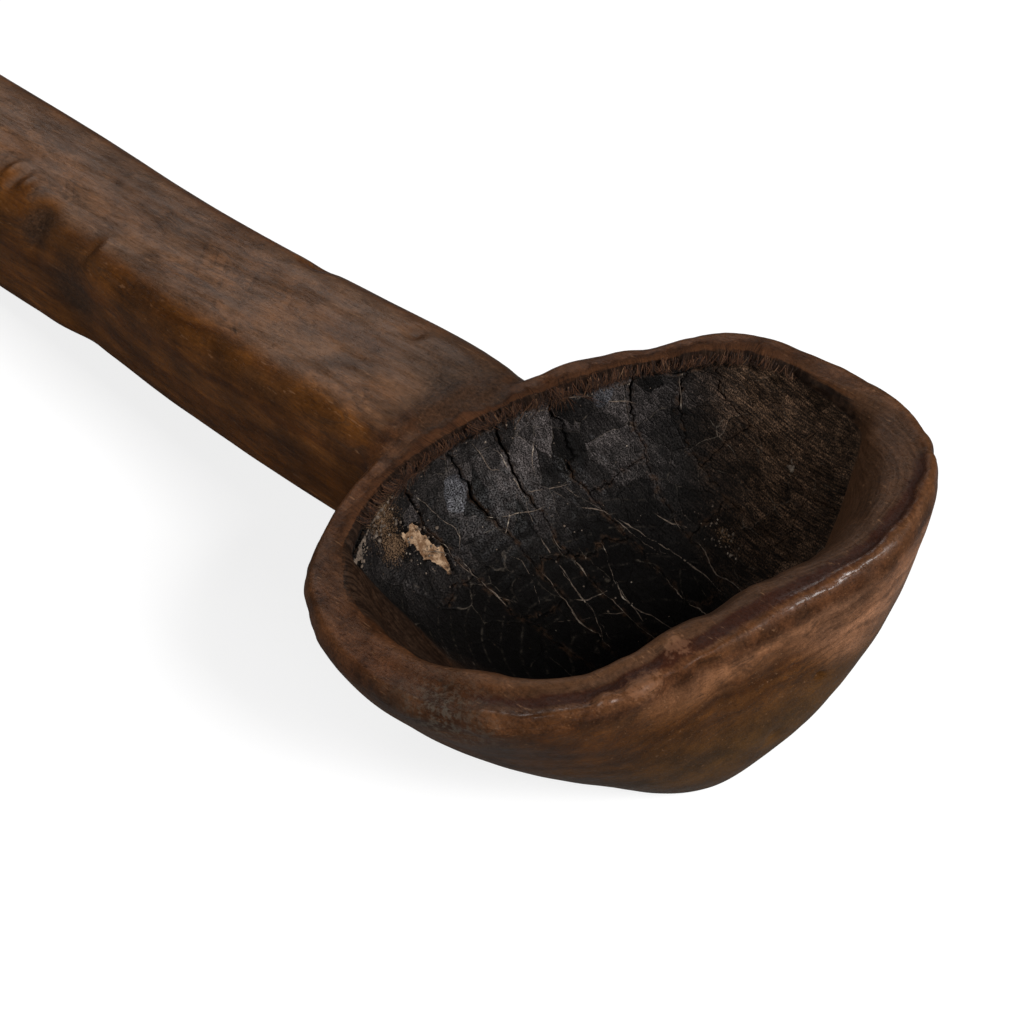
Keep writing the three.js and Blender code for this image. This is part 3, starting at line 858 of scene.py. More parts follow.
def crust_span(across):
    """How far back and how far forward the crust goes at places across the grain, from the table of both."""
    return np.interp(across, REACH_ACROSS, REACH_BACK), np.interp(across, REACH_ACROSS, REACH_FRONT)


def plate_grid(strip, start, end, first_break):
    """The plate's places along and across, from its back break to its front break and from crack to crack."""
    middle = np.linspace(start, end, 60)
    wide = np.ptp([crack_line(strip, middle), crack_line(strip + 1, middle)], axis=0).max() * WALL_LENGTH
    across_middle = (crack_line(strip, middle) + crack_line(strip + 1, middle)) / 2
    back, front = crust_span(across_middle)
    reach = front - back
    long = reach.max() * (end - start) * WALL_LENGTH
    rows, columns = max(12, int(long / PLATE_SPACING)), max(10, int(wide / PLATE_SPACING))
    u, v = np.meshgrid(np.linspace(0, 1, rows), np.linspace(0, 1, columns), indexing="ij")
    share = mix(start + break_line(v, strip, first_break), end + break_line(v, strip, first_break + 1), u)
    left = crack_line(strip, share) + crack_half(strip, share, 1)
    right = crack_line(strip + 1, share) - crack_half(strip + 1, share, 0)
    across = mix(left, right, v)
    along = mix(*crust_span(across), share)
    from_edge = np.minimum(np.minimum(u, 1 - u) * long, np.minimum(v, 1 - v) * wide)
    fade = ease(0.0, 9.0, (1 - share) * reach.max() * WALL_LENGTH)
    if strip == 0:
        fade = fade * ease(0.0, 8.0, v * wide)
    if strip == len(CRACK_LINES) - 2:
        fade = fade * ease(0.0, 4.0, (1 - v) * wide)
    return along, across, from_edge, fade


def crust_top_height(along, across):
    """How far the crust's top stands off the wood: thinner low in the bowl, with its relief."""
    thickness = CRUST_THICKNESS * mix(0.80, 0.45, ease(-0.7, -0.2, along))
    return CRUST_GAP + thickness + crust_relief(along, across)


def plate_skin(along, across, from_edge, fade):
    """Top and underside of a plate. The top falls to the underside in a quarter round at its edge,
    both sink into the wood where a flake is missing, and the crust's outer border dives under it."""
    low = np.maximum(ease(-0.85, -0.55, along), ease(0.55, 0.75, across))
    close = 1 - np.clip(from_edge / EDGE_ROUND, 0, 1)
    lump = 1 - mix(BACK_FALL, FRONT_FALL, low) * (1 - np.sqrt(np.clip(1 - close**2, 0, 1)))
    kept = ease(0.06, -0.04, missing(along, across))
    under = mix(-0.8, mix(SUNK - 0.4, -0.2, fade), kept)
    top = mix(-0.7, mix(SUNK, crust_top_height(along, across), fade), kept)
    return wall_place(along, across, mix(under, top, lump)), wall_place(along, across, under)


def closed_plate(name, top, under):
    """One closed mesh: the top's grid and the underside's turned over, sharing the points of their rim."""
    rows, columns = top.shape[:2]
    number = np.arange(rows * columns).reshape(rows, columns)
    beneath = number + rows * columns
    beneath[[0, -1], :], beneath[:, [0, -1]] = number[[0, -1], :], number[:, [0, -1]]
    used, beneath = np.unique(np.concatenate([number.ravel(), beneath.ravel()]), return_inverse=True)
    beneath = beneath.reshape(2, -1)
    quads = grid_faces(rows, columns, False)[:, ::-1]
    faces = np.concatenate([beneath[0][quads], beneath[1][quads[:, ::-1]]])
    points = np.concatenate([top.reshape(-1, 3), under.reshape(-1, 3)])[used]
    return new_piece(name, points, faces), used


# %% All plates
CROSS_CRACKS = ((0.36, 0.72), (0.50, 0.84), (0.40, 0.68), (0.43, 0.82),
                (0.29, 0.70), (0.54,), (0.40, 0.78), (0.62,))
CROSS_HALF = 0.0005


def crust_marks(piece, used, along, across, from_edge):
    """Stores the crust's masks on a plate, how near its edge is, and where its upper layer is off."""
    a, b = np.tile(along.ravel(), 2)[used], np.tile(across.ravel(), 2)[used]
    crust_masks(piece, a, b)
    paint(piece, "edge", ease(1.1, 0.2, np.tile(from_edge.ravel(), 2)[used]))
    paint(piece, "flaked", flaked(a, b))


plates = []
for strip, breaks in enumerate(CROSS_CRACKS):
    stops = [-CROSS_HALF, *breaks, 1 + CROSS_HALF]
    for first_break, (first, last) in enumerate(zip(stops[:-1], stops[1:])):
        node = f"crust_plate_{len(plates) + 1:02d}"
        grid = plate_grid(strip, first + CROSS_HALF, last - CROSS_HALF, first_break)
        plate, used = closed_plate("burnt_" + node, *plate_skin(*grid))
        crust_marks(plate, used, *grid[:3])
        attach(plate, "root")
        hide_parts(node)
        plates.append(plate)
print("plates:", len(plates), "points:", sum(len(p.data.vertices) for p in plates))

# %% [markdown]
# ## Pale filling in the hairlines
# Fine cracks run over the crust, and flour, lime and dust have filled them with pale threads.
# They are narrower than the crust's grid, so they are their own thin beads: a small round profile
# carried along each crack on the crust's surface, thick in one place and nearly gone in the next.

# %% Hairlines, as places along and across the grain
HAIRLINES = (
    ((-0.94, -0.29), (-0.82, -0.21), (-0.74, -0.17), (-0.66, -0.14), (-0.60, -0.16)),
    ((-0.97, 0.0), (-0.90, 0.02), (-0.82, 0.04), (-0.80, 0.07)),
    ((-0.96, 0.06), (-0.82, 0.09), (-0.69, 0.09), (-0.52, 0.06), (-0.39, 0.05), (-0.26, 0.03), (-0.16, 0.01)),
    ((-0.93, 0.27), (-0.86, 0.23), (-0.74, 0.16), (-0.58, 0.21), (-0.49, 0.27), (-0.37, 0.29), (-0.26, 0.32)),
    ((-0.69, 0.09), (-0.68, 0.13), (-0.66, 0.17), (-0.64, 0.24)),
    ((-0.32, 0.15), (-0.31, 0.09), (-0.32, 0.04), (-0.34, 0.01)),
    ((-0.44, 0.20), (-0.39, 0.18), (-0.32, 0.15), (-0.28, 0.14), (-0.16, 0.12), (-0.06, 0.09)),
    ((-0.65, 0.21), (-0.55, 0.25), (-0.44, 0.29), (-0.34, 0.32), (-0.27, 0.33), (-0.14, 0.34), (0.0, 0.34)),
    ((-0.43, 0.05), (-0.36, 0.04), (-0.30, 0.04), (-0.18, -0.01)),
    ((-0.32, 0.15), (-0.24, 0.13), (-0.14, 0.16), (-0.02, 0.17)),
    ((-0.60, 0.77), (-0.61, 0.75), (-0.58, 0.72), (-0.52, 0.66)),
    ((-0.38, 0.38), (-0.31, 0.40), (-0.26, 0.42), (-0.27, 0.49)),
    ((-0.93, 0.35), (-0.85, 0.46), (-0.76, 0.52), (-0.68, 0.58)),
    ((-0.53, -0.16), (-0.44, -0.14), (-0.39, -0.11)),
    ((-0.68, -0.05), (-0.66, -0.02), (-0.64, 0.04), (-0.63, 0.08), (-0.62, 0.13)),
    ((-0.66, 0.03), (-0.62, 0.0), (-0.59, -0.04)),
    ((-0.61, 0.12), (-0.54, 0.14), (-0.48, 0.14)),
    ((-0.66, -0.27), (-0.59, -0.17), (-0.50, -0.16)),
    ((-0.53, -0.04), (-0.49, -0.03), (-0.36, -0.06), (-0.33, -0.07)),
    ((-0.29, -0.06), (-0.26, 0.04), (-0.22, 0.13)),
)
BEAD_HALF = 0.085
BEAD_POINTS = 8


def bead(line, number):
    """A thread of filling along a crack: a flattened round on the crust's top, of a width that varies."""
    stations = np.array(line)
    length = np.linalg.norm(np.diff(stations, axis=0), axis=1).sum() * WALL_LENGTH
    place = np.linspace(0, 1, max(8, int(length / 0.35)))
    path = curve(stations, place, False)
    mm = place * length
    path = path + np.stack([0.004 * line_noise(mm, 3.4, seed) + 0.002 * line_noise(mm, 0.9, seed + 30)
                            for seed in (200 + number, 260 + number)], -1)
    step = np.gradient(path, axis=0)
    side = np.stack([-step[:, 1], step[:, 0]], -1) / np.linalg.norm(step, axis=1, keepdims=True)
    swell = 0.55 + 1.1 * line_noise(mm, 2.9, 320 + number) + 0.5 * line_noise(mm, 0.6, 350 + number)
    half = BEAD_HALF * np.maximum(swell, 0.02)
    half = half * np.minimum(1, 5 * np.minimum(place, 1 - place) + 0.05)
    angle = np.arange(BEAD_POINTS) / BEAD_POINTS * TAU
    spots = path[:, None] + side[:, None] * (half[:, None] * np.cos(angle) / WALL_LENGTH)[..., None]
    top = crust_top_height(path[:, 0], path[:, 1])
    height = top[:, None] + half[:, None] * (0.45 * np.sin(angle) - 0.1)
    return wall_place(spots[..., 0], spots[..., 1], height)


def along_crack(line, first, last):
    """Stations on the middle of one of the crust's long cracks, between two shares of its way."""
    share = np.linspace(first, last, 9)
    across = crack_line(line, share)
    return np.stack([mix(*crust_span(across), share), across], -1)


FILLED_CRACKS = ((1, 0.22, 0.50), (2, 0.40, 0.80), (3, 0.30, 0.86), (4, 0.52, 0.92), (5, 0.46, 0.80))
threads = [*HAIRLINES, *(along_crack(*span) for span in FILLED_CRACKS)]
bead_points, bead_faces, counted = [], [], 0
for number, line in enumerate(threads):
    skin = bead(line, number)
    rows, columns = skin.shape[:2]
    bead_points.append(skin.reshape(-1, 3))
    bead_faces.append(grid_faces(rows, columns, True)[:, ::-1] + counted)
    counted += rows * columns
filling = new_piece("pale_filling", np.concatenate(bead_points), np.concatenate(bead_faces))
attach(filling, "root")
print("threads of filling:", len(threads), "points:", counted)

# %% [markdown]
# ## Loose fibres and crumbs
# Under the back of the rim the wood is torn, and short red splinters hang over the crust's upper edge.
# Dried food and lime sit in the bowl as small crumbs. Hair and particle systems could scatter these,
# but a handful of numbers per splinter or crumb gives plain meshes: each is a tiny grid, all made at once.

# %% Fibres
FIBRE_COUNT = 2000
FIBRE_RINGS = 6
FIBRE_TURN = (0.275, 0.585)
chance = np.random.default_rng(7)


def fibre_paths(count):
    """Curves that start on the lip's inner face, bend over its edge and end above the crust: each is
    a parabola pulled by its middle point. Noise along the rim gathers the long ones in tufts."""
    girth = mix(*FIBRE_TURN, chance.random(count) ** 0.75) * RIM_GIRTH
    gathered = girth + 2.2 * line_noise(girth, 3.2, 39) + 0.9 * line_noise(girth, 1.1, 40)
    turn = gathered / RIM_GIRTH
    tuft = ease(-0.1, 0.8, line_noise(girth, 7.0, 37) + 0.6 * line_noise(girth, 2.3, 38))
    tuft *= ease(0.36, 0.46, turn)
    hang = mix(0.1, mix(1.0, 5.4, tuft), chance.random(count) ** 2.5)
    drift = np.clip(chance.normal(0.0, 0.9, count), -1.8, 1.8) + 1.1 * line_noise(girth, 4.0, 29)
    end_turn = turn + drift * (hang + 0.9) / RIM_GIRTH
    start = lip_point(turn, mix(0.70, 1.0, chance.random(count) ** 0.6) * np.pi)
    bend = lip_point(mix(turn, end_turn, 0.5), np.full(count, np.pi))
    share = 1.0 - hang / WALL_LENGTH
    along, across = share * np.cos(end_turn * TAU), share * np.sin(end_turn * TAU)
    end = wall_place(along, across, crust_top_height(along, across) + mix(-0.2, 0.8, chance.random(count)))
    inward = bend * (-1, -1, 0) / from_axis(bend)[:, None]
    start = start + 0.3 * inward + (0, 0, 0.15)
    bend = bend + inward * mix(0.7, 2.2, chance.random(count))[:, None]
    t = np.linspace(0, 1, FIBRE_RINGS)[:, None]
    path = (1 - t) ** 2 * start[:, None] + 2 * t * (1 - t) * bend[:, None] + t**2 * end[:, None]
    return path, np.broadcast_to(inward[:, None], path.shape)


def fibre_skins(count):
    """A flattened diamond section that shrinks towards the tip, carried along every path."""
    path, inward = fibre_paths(count)
    step = np.gradient(path, axis=1)
    side = np.cross(inward, step)
    side /= np.linalg.norm(side, axis=-1, keepdims=True)
    half = mix(0.035, 0.13, chance.random(count) ** 3)
    size = half[:, None] * (1 - np.linspace(0, 1, FIBRE_RINGS)) ** 0.6 + 0.015
    corner = np.arange(4)[:, None] / 4 * TAU
    offset = np.cos(corner) * side[:, :, None] + 0.6 * np.sin(corner) * inward[:, :, None]
    return path[:, :, None] + size[..., None, None] * offset


def many_tubes(skins):
    """Wall faces and end caps for many closed-section grids of one size, laid end to end."""
    count, rings, columns = skins.shape[:3]
    start = np.arange(count)[:, None, None] * rings * columns
    walls = grid_faces(rings, columns, True)[None] + start
    ring = np.arange(columns)
    caps = np.stack([ring[::-1], (rings - 1) * columns + ring])[None] + start
    return walls.reshape(-1, 4), caps.reshape(-1, columns)


fibres = fibre_skins(FIBRE_COUNT)
torn_fibres = new_piece("torn_fibres", fibres, *many_tubes(fibres))
paint(torn_fibres, "tone", np.repeat(chance.random(FIBRE_COUNT), FIBRE_RINGS * 4))
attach(torn_fibres, "root")
print("fibres:", len(fibres), "faces:", len(torn_fibres.data.polygons))

# %% Crumbs, as heaps with a place, a spread, a number and a size in millimetres
CRUMB_HEAPS = {
    "left deposit": ((-0.80, -0.57), (0.030, 0.050), 170, 0.36),
    "tan heap": ((-0.86, -0.40), (0.06, 0.05), 60, 0.24),
    "flake edge": ((-0.68, -0.27), (0.07, 0.04), 46, 0.22),
    "right string": ((-0.15, 0.46), (0.05, 0.02), 34, 0.22),
    "right spot": ((-0.04, 0.75), (0.012, 0.012), 14, 0.30),
    "back edge": ((-0.94, 0.20), (0.03, 0.30), 40, 0.20),
    "floor": ((-0.50, 0.10), (0.22, 0.25), 60, 0.13),
}
CRUMB_RINGS, CRUMB_COLUMNS = 5, 6


def crumb_skins():
    """Small uneven lumps: a ball's grid with every point pushed in or out, sat on the crust's top."""
    spots, sizes = [], []
    for place, spread, count, size in CRUMB_HEAPS.values():
        spots.append(chance.normal(place, spread, (count, 2)))
        sizes.append(size * chance.lognormal(0.0, 0.35, count))
    spots, sizes = np.concatenate(spots), np.concatenate(sizes)
    reach = np.hypot(*spots.T)
    spots = spots * np.minimum(1, 0.97 / reach)[:, None]
    polar = np.linspace(0.12, np.pi - 0.12, CRUMB_RINGS)[:, None]
    around = np.arange(CRUMB_COLUMNS) / CRUMB_COLUMNS * TAU
    ball = np.stack(np.broadcast_arrays(
        np.sin(polar) * np.cos(around), np.sin(polar) * np.sin(around), np.cos(polar)), -1)
    lumps = sizes[:, None, None] * mix(0.6, 1.25, chance.random((len(sizes), CRUMB_RINGS, CRUMB_COLUMNS)))
    along = spots[:, 0, None, None] + lumps * ball[..., 0] / WALL_LENGTH
    across = spots[:, 1, None, None] + lumps * ball[..., 1] / WALL_LENGTH
    base = crust_top_height(spots[:, 0], spots[:, 1])[:, None, None]
    return wall_place(along, across, base + lumps * 0.6 * ball[..., 2])


crumbs_grid = crumb_skins()
crumbs = new_piece("dried_crumbs", crumbs_grid, *many_tubes(crumbs_grid))
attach(crumbs, "root")
print("crumbs:", len(crumbs_grid), "faces:", len(crumbs.data.polygons))

# %% [markdown]
# ## Building shader nodes
# A finish is a tree of nodes. Written out node by node it would fill pages, so one small class wraps a tree
# and gives each usual step a short word: arithmetic, blending, easing, noise.
# What several finishes share is made once as a group with named sockets.

# %% Node helpers


class Nodes:
    """A node tree, with short ways to add to it."""

    def __init__(self, tree):
        self.tree, self.nodes = tree, tree.nodes

    def fill(self, socket, value):
        """Links a socket to another node's output, or sets its number."""
        if isinstance(value, bpy.types.NodeSocket):
            self.tree.links.new(value, socket)
        else:
            socket.default_value = value

    def put(self, kind, inputs, **settings):
        """Adds a node of a kind with its settings, and fills its sockets by name or number."""
        made = self.nodes.new("ShaderNode" + kind)
        for name, value in settings.items():
            setattr(made, name, value)
        for name, value in inputs.items():
            self.fill(made.inputs[name], value)
        return made

    def calc(self, operation, *values):
        """One step of arithmetic."""
        return self.put("Math", dict(enumerate(values)), operation=operation).outputs[0]

    def add(self, first, second):
        """The sum of two values."""
        return self.calc("ADD", first, second)

    def minus(self, first, second):
        """The first value less the second."""
        return self.calc("SUBTRACT", first, second)

    def times(self, first, second):
        """The product of two values."""
        return self.calc("MULTIPLY", first, second)

    def most(self, first, second):
        """The larger of two values."""
        return self.calc("MAXIMUM", first, second)

    def ease(self, value, low, high, to_low=0.0, to_high=1.0):
        """A value eased from one range to another."""
        inputs = {"Value": value, 1: low, 2: high, 3: to_low, 4: to_high}
        return self.put("MapRange", inputs, interpolation_type="SMOOTHSTEP").outputs[0]

    def ragged(self, mask, grit, amount):
        """A mask with a ragged edge: grit round its middle value is added to it."""
        return self.add(mask, self.times(self.minus(grit, 0.5), amount))

    def blend(self, share, first, second, mode="MIX"):
        """Two colours blended by a share."""
        made = self.put("Mix", {0: share, 6: first, 7: second}, data_type="RGBA", blend_type=mode)
        return made.outputs[2]

    def lay(self, colour, paint, mask, share):
        """A colour with another laid over it, as much as a mask times a share."""
        return self.blend(self.times(mask, share), colour, paint)

    def tint(self, colour, tone):
        """A colour made lighter or darker by a tone round 1."""
        grey = self.put("CombineXYZ", {0: tone, 1: tone, 2: tone}).outputs[0]
        return self.blend(1.0, colour, grey, "MULTIPLY")

    def tone(self, colour, value, low, high, to_low, to_high):
        """A colour tinted by a value that is eased from one range to another."""
        return self.tint(colour, self.ease(value, low, high, to_low, to_high))

    def total(self, *terms):
        """The sum of values, each times its factor."""
        products = [self.times(value, factor) for value, factor in terms]
        return functools.reduce(self.add, products)

    def cloud(self, place, size, detail=3.0, rough=0.55):
        """Noise with its own size in millimetres along X, Y and Z."""
        sized = self.put("Mapping", {"Vector": place, "Scale": tuple(1.0 / s for s in size)}).outputs[0]
        inputs = {"Vector": sized, "Scale": 1.0, "Detail": detail, "Roughness": rough}
        return self.put("TexNoise", inputs).outputs["Fac"]

    def sway(self, place, scale, detail, rough, amount):
        """Noise as a direction, to bend a pattern with."""
        inputs = {"Vector": place, "Scale": scale, "Detail": detail, "Roughness": rough}
        turned = self.put("TexNoise", inputs).outputs["Color"]
        return self.put("VectorMath", {0: turned, "Scale": amount}, operation="SCALE").outputs[0]

    def crackle(self, place, warp, size, shift):
        """A net of cells, bent by a warp: the tones of its cells, and the distance to its lines."""
        inputs = {"Vector": place, "Scale": tuple(1 / s for s in size), "Location": (shift,) * 3}
        sized = self.put("Mapping", inputs).outputs[0]
        cell = self.put("VectorMath", {0: sized, 1: warp}, operation="ADD").outputs[0]
        tone = self.put("TexVoronoi", {"Vector": cell, "Scale": 1.0}).outputs["Color"]
        line = self.put("TexVoronoi", {"Vector": cell, "Scale": 1.0}, feature="DISTANCE_TO_EDGE")
        return self.put("SeparateXYZ", {0: tone}).outputs[0], line.outputs["Distance"]

    def stored(self, name, kind="Fac"):
        """A number that was stored on the mesh under a name, or a place with the kind Vector."""
        return self.put("Attribute", {}, attribute_name=name).outputs[kind]

    def use(self, group, **inputs):
        """Places a group in the tree and fills its sockets."""
        made = self.nodes.new("ShaderNodeGroup")
        made.node_tree = group.tree
        for name, value in inputs.items():
            self.fill(made.inputs[name], value)
        return made.outputs

    def surface(self, shader, colour, rough, height, strength, depth):
        """Gives a shader its colour, its roughness, and a bump with a strength and a depth in millimetres."""
        self.fill(shader.inputs["Base Color"], colour)
        self.fill(shader.inputs["Roughness"], rough)
        bump = self.put("Bump", {"Height": height, "Strength": strength, "Distance": depth * MM})
        self.fill(shader.inputs["Normal"], bump.outputs[0])


def new_group(name, inputs, outputs):
    """An empty node group with named sockets. It gives back the nodes, the inputs and the outputs."""
    tree = bpy.data.node_groups.new(name, "ShaderNodeTree")
    for label, kind in inputs.items():
        tree.interface.new_socket(label, in_out="INPUT", socket_type="NodeSocket" + kind)
    for label, kind in outputs.items():
        tree.interface.new_socket(label, in_out="OUTPUT", socket_type="NodeSocket" + kind)
    return Nodes(tree), tree.nodes.new("NodeGroupInput").outputs, tree.nodes.new("NodeGroupOutput").inputs


def new_material(name):
    """A material, its nodes, its Principled shader, and the place on the object in millimetres."""
    material = bpy.data.materials.new(name)
    material.use_nodes = True
    tree = Nodes(material.node_tree)
    place = tree.put("TexCoord", {}).outputs["Object"]
    place = tree.put("Mapping", {"Vector": place, "Scale": (1 / MM,) * 3}).outputs[0]
    return material, tree, tree.nodes["Principled BSDF"], place


print("node helpers:", [name for name in vars(Nodes) if not name.startswith("_")])

# %% [markdown]
# ## The grain of the billet
# The rings lie nearly level in the ladle, so the sides show long bands, the top shows wide loops,
# and the charred inside shows the same rings as faint ovals. A wood texture would circle a straight axis.
# This group instead measures height across the rings, bends it with noise, and adds fibres along the billet.

# %% Grain group
GRAIN_FIGURES = ("Band", "Wisp", "Fibre", "Streak", "Blotch", "Pore", "Ring")
RING_WIDTH = 2.6
grain, given, result = new_group("billet_grain", {"Place": "Vector", "Wander": "Float"},
                                 {name: "Float" for name in GRAIN_FIGURES})
parts = grain.put("SeparateXYZ", {0: given["Place"]}).outputs
level = grain.put("VectorMath", {0: given["Place"], 1: (-math.tan(LEAN), -math.tan(ROLL), 1.0)},
                  operation="DOT_PRODUCT").outputs["Value"]
bow = grain.times(grain.times(parts[1], parts[1]), 1 / RING_BOW)
bend = grain.minus(grain.cloud(given["Place"], (70, 24, 24), 3.0, 0.5), 0.5)
bend = grain.times(bend, given["Wander"])
across_rings = grain.add(grain.add(level, bow), bend)
bent = grain.put("CombineXYZ", {0: parts[0], 1: parts[1], 2: across_rings}).outputs[0]
grain.fill(result["Band"], grain.cloud(bent, (150, 50, 3.4), 6.0, 0.62))
wisp = grain.calc("ABSOLUTE", grain.minus(grain.cloud(bent, (38, 15, 4.2), 4.0, 0.55), 0.5))
grain.fill(result["Wisp"], grain.ease(wisp, 0.040, 0.0))
ring = grain.calc("FRACT", grain.calc("DIVIDE", across_rings, RING_WIDTH))
ring = grain.calc("ABSOLUTE", grain.minus(ring, 0.5))
grain.fill(result["Ring"], grain.ease(ring, 0.10, 0.0))
grain.fill(result["Fibre"], grain.cloud(given["Place"], (11, 0.42, 0.42), 5.0, 0.7))
grain.fill(result["Streak"], grain.cloud(given["Place"], (30, 2.2, 2.2), 6.0, 0.65))
grain.fill(result["Blotch"], grain.cloud(given["Place"], (40, 17, 17), 5.0, 0.6))
grain.fill(result["Pore"], grain.cloud(given["Place"], (2.8, 0.34, 0.34), 2.0, 0.5))
print("grain group:", len(grain.nodes), "nodes")

# %% Dust and painted sheen group
dust_and_sheen, given, result = new_group("dust_and_painted_sheen", {"Place": "Vector", "Normal": "Vector", "Reach": "Float"},
                                {"Dust": "Float"})
facing = dust_and_sheen.put("SeparateXYZ", {0: given["Normal"]}).outputs[2]
patch = dust_and_sheen.add(dust_and_sheen.cloud(given["Place"], (26, 12, 12), 6.0, 0.7), given["Reach"])
# Painted sheen with dust: faces that look up get a grey-brown layer, which also stands in for the soft
# reflection of the light from above.
dust_and_sheen_share = dust_and_sheen.times(dust_and_sheen.ease(facing, 0.90, 0.985), dust_and_sheen.ease(patch, 0.30, 0.80, 0.35, 1.0))
dust_and_sheen.fill(result["Dust"], dust_and_sheen_share)
print("dust group:", len(dust_and_sheen.nodes), "nodes")

# %% [markdown]
# ## The skin of the crust
# The crust is nearly black with a dull grey bloom, fine grains with painted glints, a web of faint cracks,
# and a thinner, browner side with fine striations. Painted sheen lightens its grey on the back wall, and
# painted shade makes it blacker low in the bowl. Charred wood at its border looks the same,
# so colour, height and gloss are a group that the crust and the wood share. Nets of small cells break it
# into chips with their own tone, as shrinking does.

# %% Crust group
CRUST_BLACK = (0.0040, 0.0034, 0.0030, 1)
ASH_AND_SHEEN_GREY = (0.0245, 0.0208, 0.0198, 1)
CRUST_GLASS = (0.027, 0.027, 0.030, 1)
CRUST_BROWN = (0.046, 0.0262, 0.0152, 1)
CRUST_SHADE_BLACK = (0.0013, 0.0009, 0.0007, 1)
PALE_DUST_AND_GLINT = (0.19, 0.155, 0.12, 1)
BROWN_DUST = (0.050, 0.027, 0.015, 1)
TAN_DUST = (0.190, 0.115, 0.064, 1)
CRUST_MASKS = ("Thin", "Dusty", "Ashy", "Glassy", "Deep")
crust, given, result = new_group(
    "crust_skin", {"Place": "Vector", "Wall": "Vector", **{name: "Float" for name in CRUST_MASKS}},
    {"Colour": "Color", "Height": "Float", "Rough": "Float", "Gloss": "Float"})
place, wall = given["Place"], given["Wall"]
figure = crust.use(grain, Place=place, Wander=5.0)
bloom = crust.cloud(place, (9, 9, 9), 5.0, 0.6)
grains = crust.cloud(wall, (0.30, 0.44, 1.0), 4.0, 0.7)
scab = crust.cloud(place, (1.5, 1.5, 1.5), 6.0, 0.75)
warp = crust.sway(place, 0.45, 5.0, 0.7, 0.45)
sway = crust.sway(place, 0.16, 3.0, 0.5, 0.35)
chip_tone, chip_line = crust.crackle(wall, sway, (9.0, 5.5, 1.0), 3.1)
craze_tone, craze_line = crust.crackle(wall, warp, (1.7, 1.0, 1.0), 9.7)
stria = crust.cloud(wall, (6.5, 0.40, 1.0), 4.0, 0.7)
weave = crust.cloud(wall, (0.36, 0.30, 1.0), 2.0, 0.5)

# %% Crust group, colour
# Grey bloom with painted sheen on the back wall.
ash_and_sheen = crust.add(given["Ashy"], 0.12)
chipped = crust.add(crust.times(bloom, 0.55), crust.times(chip_tone, 0.45))
ashy = crust.times(crust.ease(chipped, 0.25, 0.80), ash_and_sheen)
colour = crust.blend(crust.calc("MINIMUM", ashy, 1.0), CRUST_BLACK, ASH_AND_SHEEN_GREY)
striped = crust.ease(stria, 0.38, 0.62)
thin = crust.times(given["Thin"], crust.add(0.30, crust.times(striped, 0.55)))
colour = crust.blend(thin, colour, CRUST_BROWN)
glass = crust.ease(crust.ragged(given["Glassy"], chip_tone, 0.9), 0.48, 0.54)
colour = crust.lay(colour, CRUST_GLASS, glass, 0.7)
colour = crust.tone(colour, chip_tone, 0.0, 1.0, 0.62, 1.38)
colour = crust.tone(colour, craze_tone, 0.0, 1.0, 0.60, 1.40)
colour = crust.tone(colour, stria, 0.30, 0.70, 0.50, 1.55)
colour = crust.tone(colour, weave, 0.30, 0.70, 0.12, 2.15)
colour = crust.tone(colour, grains, 0.32, 0.68, 0.40, 1.70)
# Painted shade: the crust is laid nearly black low in the bowl.
deep = crust.ease(crust.ragged(given["Deep"], scab, 0.6), 0.1, 0.9)
colour = crust.lay(colour, CRUST_SHADE_BLACK, deep, 0.90)

# %% Crust group, pale lines, dust and painted glints
# Painted glints: pale specks on the grains stand in for their sparkle, most on the back wall.
painted_glint = crust.times(crust.ease(grains, 0.66, 0.74), crust.add(0.25, given["Ashy"]))
colour = crust.lay(colour, PALE_DUST_AND_GLINT, painted_glint, 0.40)
hair = crust.times(crust.ease(chip_line, 0.020, 0.005), crust.ease(bloom, 0.50, 0.60))
hair = crust.times(hair, crust.ease(scab, 0.38, 0.62))
arcs = crust.times(crust.times(figure["Ring"], given["Deep"]), crust.ease(scab, 0.46, 0.66))
lines = crust.most(crust.times(hair, 0.28), crust.times(arcs, 0.16))
colour = crust.blend(lines, colour, PALE_DUST_AND_GLINT)
dusty = crust.ragged(crust.ragged(given["Dusty"], scab, 1.8), weave, 2.2)
dusty = crust.ease(dusty, 0.55, 1.05)
powder = crust.blend(crust.ease(grains, 0.40, 0.62), BROWN_DUST, TAN_DUST)
colour = crust.lay(colour, powder, dusty, 0.85)
crust.fill(result["Colour"], colour)

# %% Crust group, height and gloss
height = crust.total((grains, 0.40), (weave, 0.25), (crust.ease(craze_line, 0.0, 0.16), 0.20),
                     (crust.ease(chip_line, 0.03, 0.0), -0.30), (stria, 0.35),
                     (crust.times(dusty, scab), 0.6))
crust.fill(result["Height"], height)
crust.fill(result["Rough"], crust.ease(bloom, 0.3, 0.7, 0.45, 0.70))
shine = crust.add(crust.times(given["Ashy"], 0.10), crust.times(glass, 0.12))
crust.fill(result["Gloss"], crust.times(shine, crust.ease(weave, 0.40, 0.62)))
print("crust group:", len(crust.nodes), "nodes")


def crust_skin(tree, place):
    """Places the crust group in a material and feeds it the masks that are stored on the mesh."""
    masks = {name: tree.stored(name.lower()) for name in CRUST_MASKS}
    return tree.use(crust, Place=place, Wall=tree.stored("wall_place", "Vector"), **masks)


# %% [markdown]
# ## The wood's finish
# Old handled wood is dark and satin: warm brown on the sides, greyer on top where dust has worked in and a
# painted sheen stands for the light from above, brighter on rubbed ridges, and nearly black in hollows from
# painted shade. On the handle, painted light brightens the sides and painted shade darkens the upper arrises.
# Torn fibres stay red-brown, and the inside is charred.
# Colour, roughness and bump all come from the same grain, so that a dark streak is also a shallow groove.

